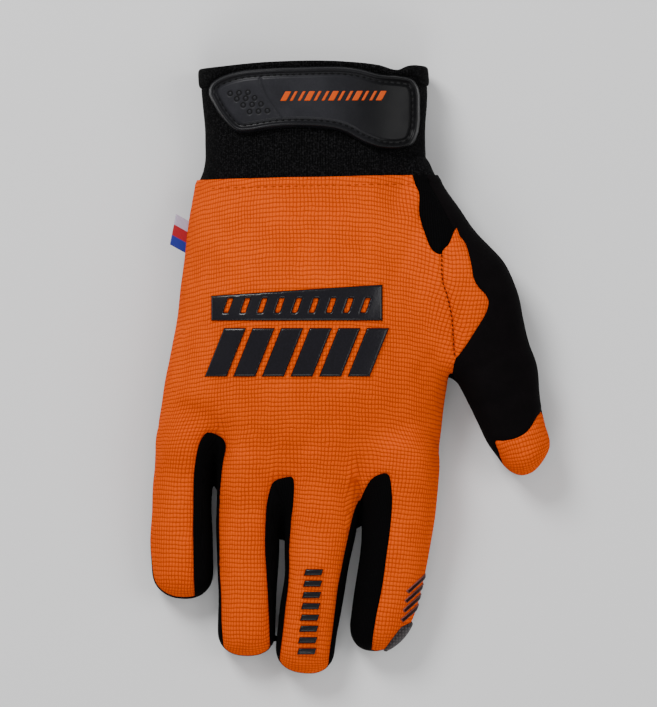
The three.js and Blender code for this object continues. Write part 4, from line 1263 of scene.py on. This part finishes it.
def add_finger_prints():
    """A row of short bars along the middle finger."""
    count, length, width, pitch, slant, start, offset = 8, 6.4 * MM, 2.3 * MM, 4.1 * MM, 0.3, 0.58, 0.02
    for i in range(count):
        centre = MIDDLE.plan([(start + i * pitch / MIDDLE.length, offset)])[0]
        outline = leaning_block(centre, length, width, slant)
        add_print(f"finger_bar_{i + 1}", f"finger_print_{i + 1}", outline, step=0.35 * MM, bevel=0.4 * MM)


def refine(points, faces):
    """Each face as four smaller ones."""
    edges, back = np.unique(np.sort(face_edges(faces), axis=1), axis=0, return_inverse=True)
    ab, bc, ca = back.reshape(3, -1) + len(points)
    a, b, c = faces.T
    corners = [(a, ab, ca), (b, bc, ab), (c, ca, bc), (ab, bc, ca)]
    middles = points[edges].mean(axis=1)
    return np.vstack([points, middles]), np.vstack([np.column_stack(corner) for corner in corners])


def add_raised(name, node, surface, outline, low, thickness, bevel, material):
    """Raised silicone that follows the shell within an outline of the plan, and down its side to a height."""
    points, faces = surface
    margin = 2 * MM
    centre = points[faces].mean(axis=1)
    nearby = np.all((centre[:, :2] > outline.min(axis=0) - margin)
                    & (centre[:, :2] < outline.max(axis=0) + margin), axis=1)
    used, faces = compact(faces[nearby & (centre[:, 2] > low - margin)])
    points, faces = refine(points[used], faces)
    points = points - form(points)[:, None] * outward(points)

    def outside(p):
        return np.maximum(outline_distance(p[:, :2], outline), low - p[:, 2])

    points, faces = cut(points, faces, outside)
    points, faces = cut(points, faces, lambda p: outside(p) + bevel)
    used, faces = compact(faces[outside(points[faces].mean(axis=1)) < 0])
    points = points[used]
    out = outward(points)
    base = points + out * relief(points)[:, None]
    share = rounded(-outside(points) / bevel)
    add_skin(name, base + out * (SEAT * 0.5 + thickness * share)[:, None], base + out * SEAT * 0.2, faces,
             np.column_stack([share] * 3), material, [node])


# Ends of the first stripe on the index finger, as (at, offset), and how far each next one starts further out
STRIPE_INNER, STRIPE_OUTER, STRIPE_STEP = (0.718, 0.31), (0.555, 0.78), -0.014
PATCH_EDGE = [(0.875, 0.27), (0.8, 0.7), (1.2, 0.7), (1.2, 0.05), (0.99, 0.05), (0.94, 0.14)]


def add_index_prints(surface):
    """Stripes round the index finger's side and a patch at its tip."""
    count, width, pitch = 4, 1.5 * MM, 3.5 * MM
    for i in range(count):
        shift = i * pitch / INDEX.length
        inner, outer = INDEX.plan([(STRIPE_INNER[0] + shift, STRIPE_INNER[1] + i * STRIPE_STEP),
                                   (STRIPE_OUTER[0] + shift, STRIPE_OUTER[1])])
        along = (outer - inner) / np.linalg.norm(outer - inner)
        half = np.array([-along[1], along[0]]) * width / 2
        outline = np.array([inner - half, outer - half, outer + half, inner + half])
        add_raised(f"index_bar_{i + 1}", f"index_stripe_{i + 1}", surface, outline, low=INDEX.height * 0.35,
                   thickness=0.25 * MM, bevel=0.4 * MM, material=SILICONE)
    add_raised("index_grip", "index_tip_patch", surface, INDEX.plan(PATCH_EDGE), low=INDEX.height * 0.3,
               thickness=PRINT_THICKNESS, bevel=0.6 * MM, material=GRIP)


def add_tag():
    """A striped ribbon, folded in two and sewn into the side seam."""
    length, proud, sewn, tilt, slope, height = 11.2 * MM, 3.5 * MM, 4 * MM, 29, -0.2, 11 * MM
    half_gap, half_cloth, curl_height = 0.35 * MM, 0.12 * MM, 0.35 * MM
    reach = proud + sewn
    out = direction(tilt) * (-1, 1)
    down = np.array([slope, -1]) / math.hypot(slope, 1)
    bend = np.linspace(-math.pi / 2, math.pi / 2, 9)[1:-1]
    run = np.linspace(0, reach - half_gap, 14)
    level = np.full(len(run), half_gap)
    fold = np.column_stack([reach - half_gap + half_gap * np.cos(bend), half_gap * np.sin(bend)])
    loop = np.vstack([np.column_stack([run, -level]), fold, np.column_stack([run[::-1], level])])
    rows = np.linspace(-length / 2, length / 2, 23)
    u, v = (grid.ravel() for grid in np.meshgrid(np.arange(len(loop)), rows, indexing="ij"))
    along, above = loop[u].T
    plan = hand_point(-0.415, 0.363) + np.outer(v, down) + np.outer(along, out)
    curl = curl_height * np.sin(v / length * 5 + 1) * (along / reach) ** 2
    points = np.column_stack([plan, height + above + curl])
    faces = grid_faces(len(loop), len(rows))
    normals = point_normals(points, faces) * half_cloth
    cloth = np.column_stack([along, v / length, along])
    add_skin("side_ribbon", points + normals, points - normals, faces, cloth, RIBBON, ["side_tag"])


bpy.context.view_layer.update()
add_camera()
add_studio()
shell = build_surface()
build_panels(shell)
add_strap()
add_strap_marks()
add_back_prints()
add_finger_prints()
add_index_prints(shell)
add_tag()
add_seam_stitches()
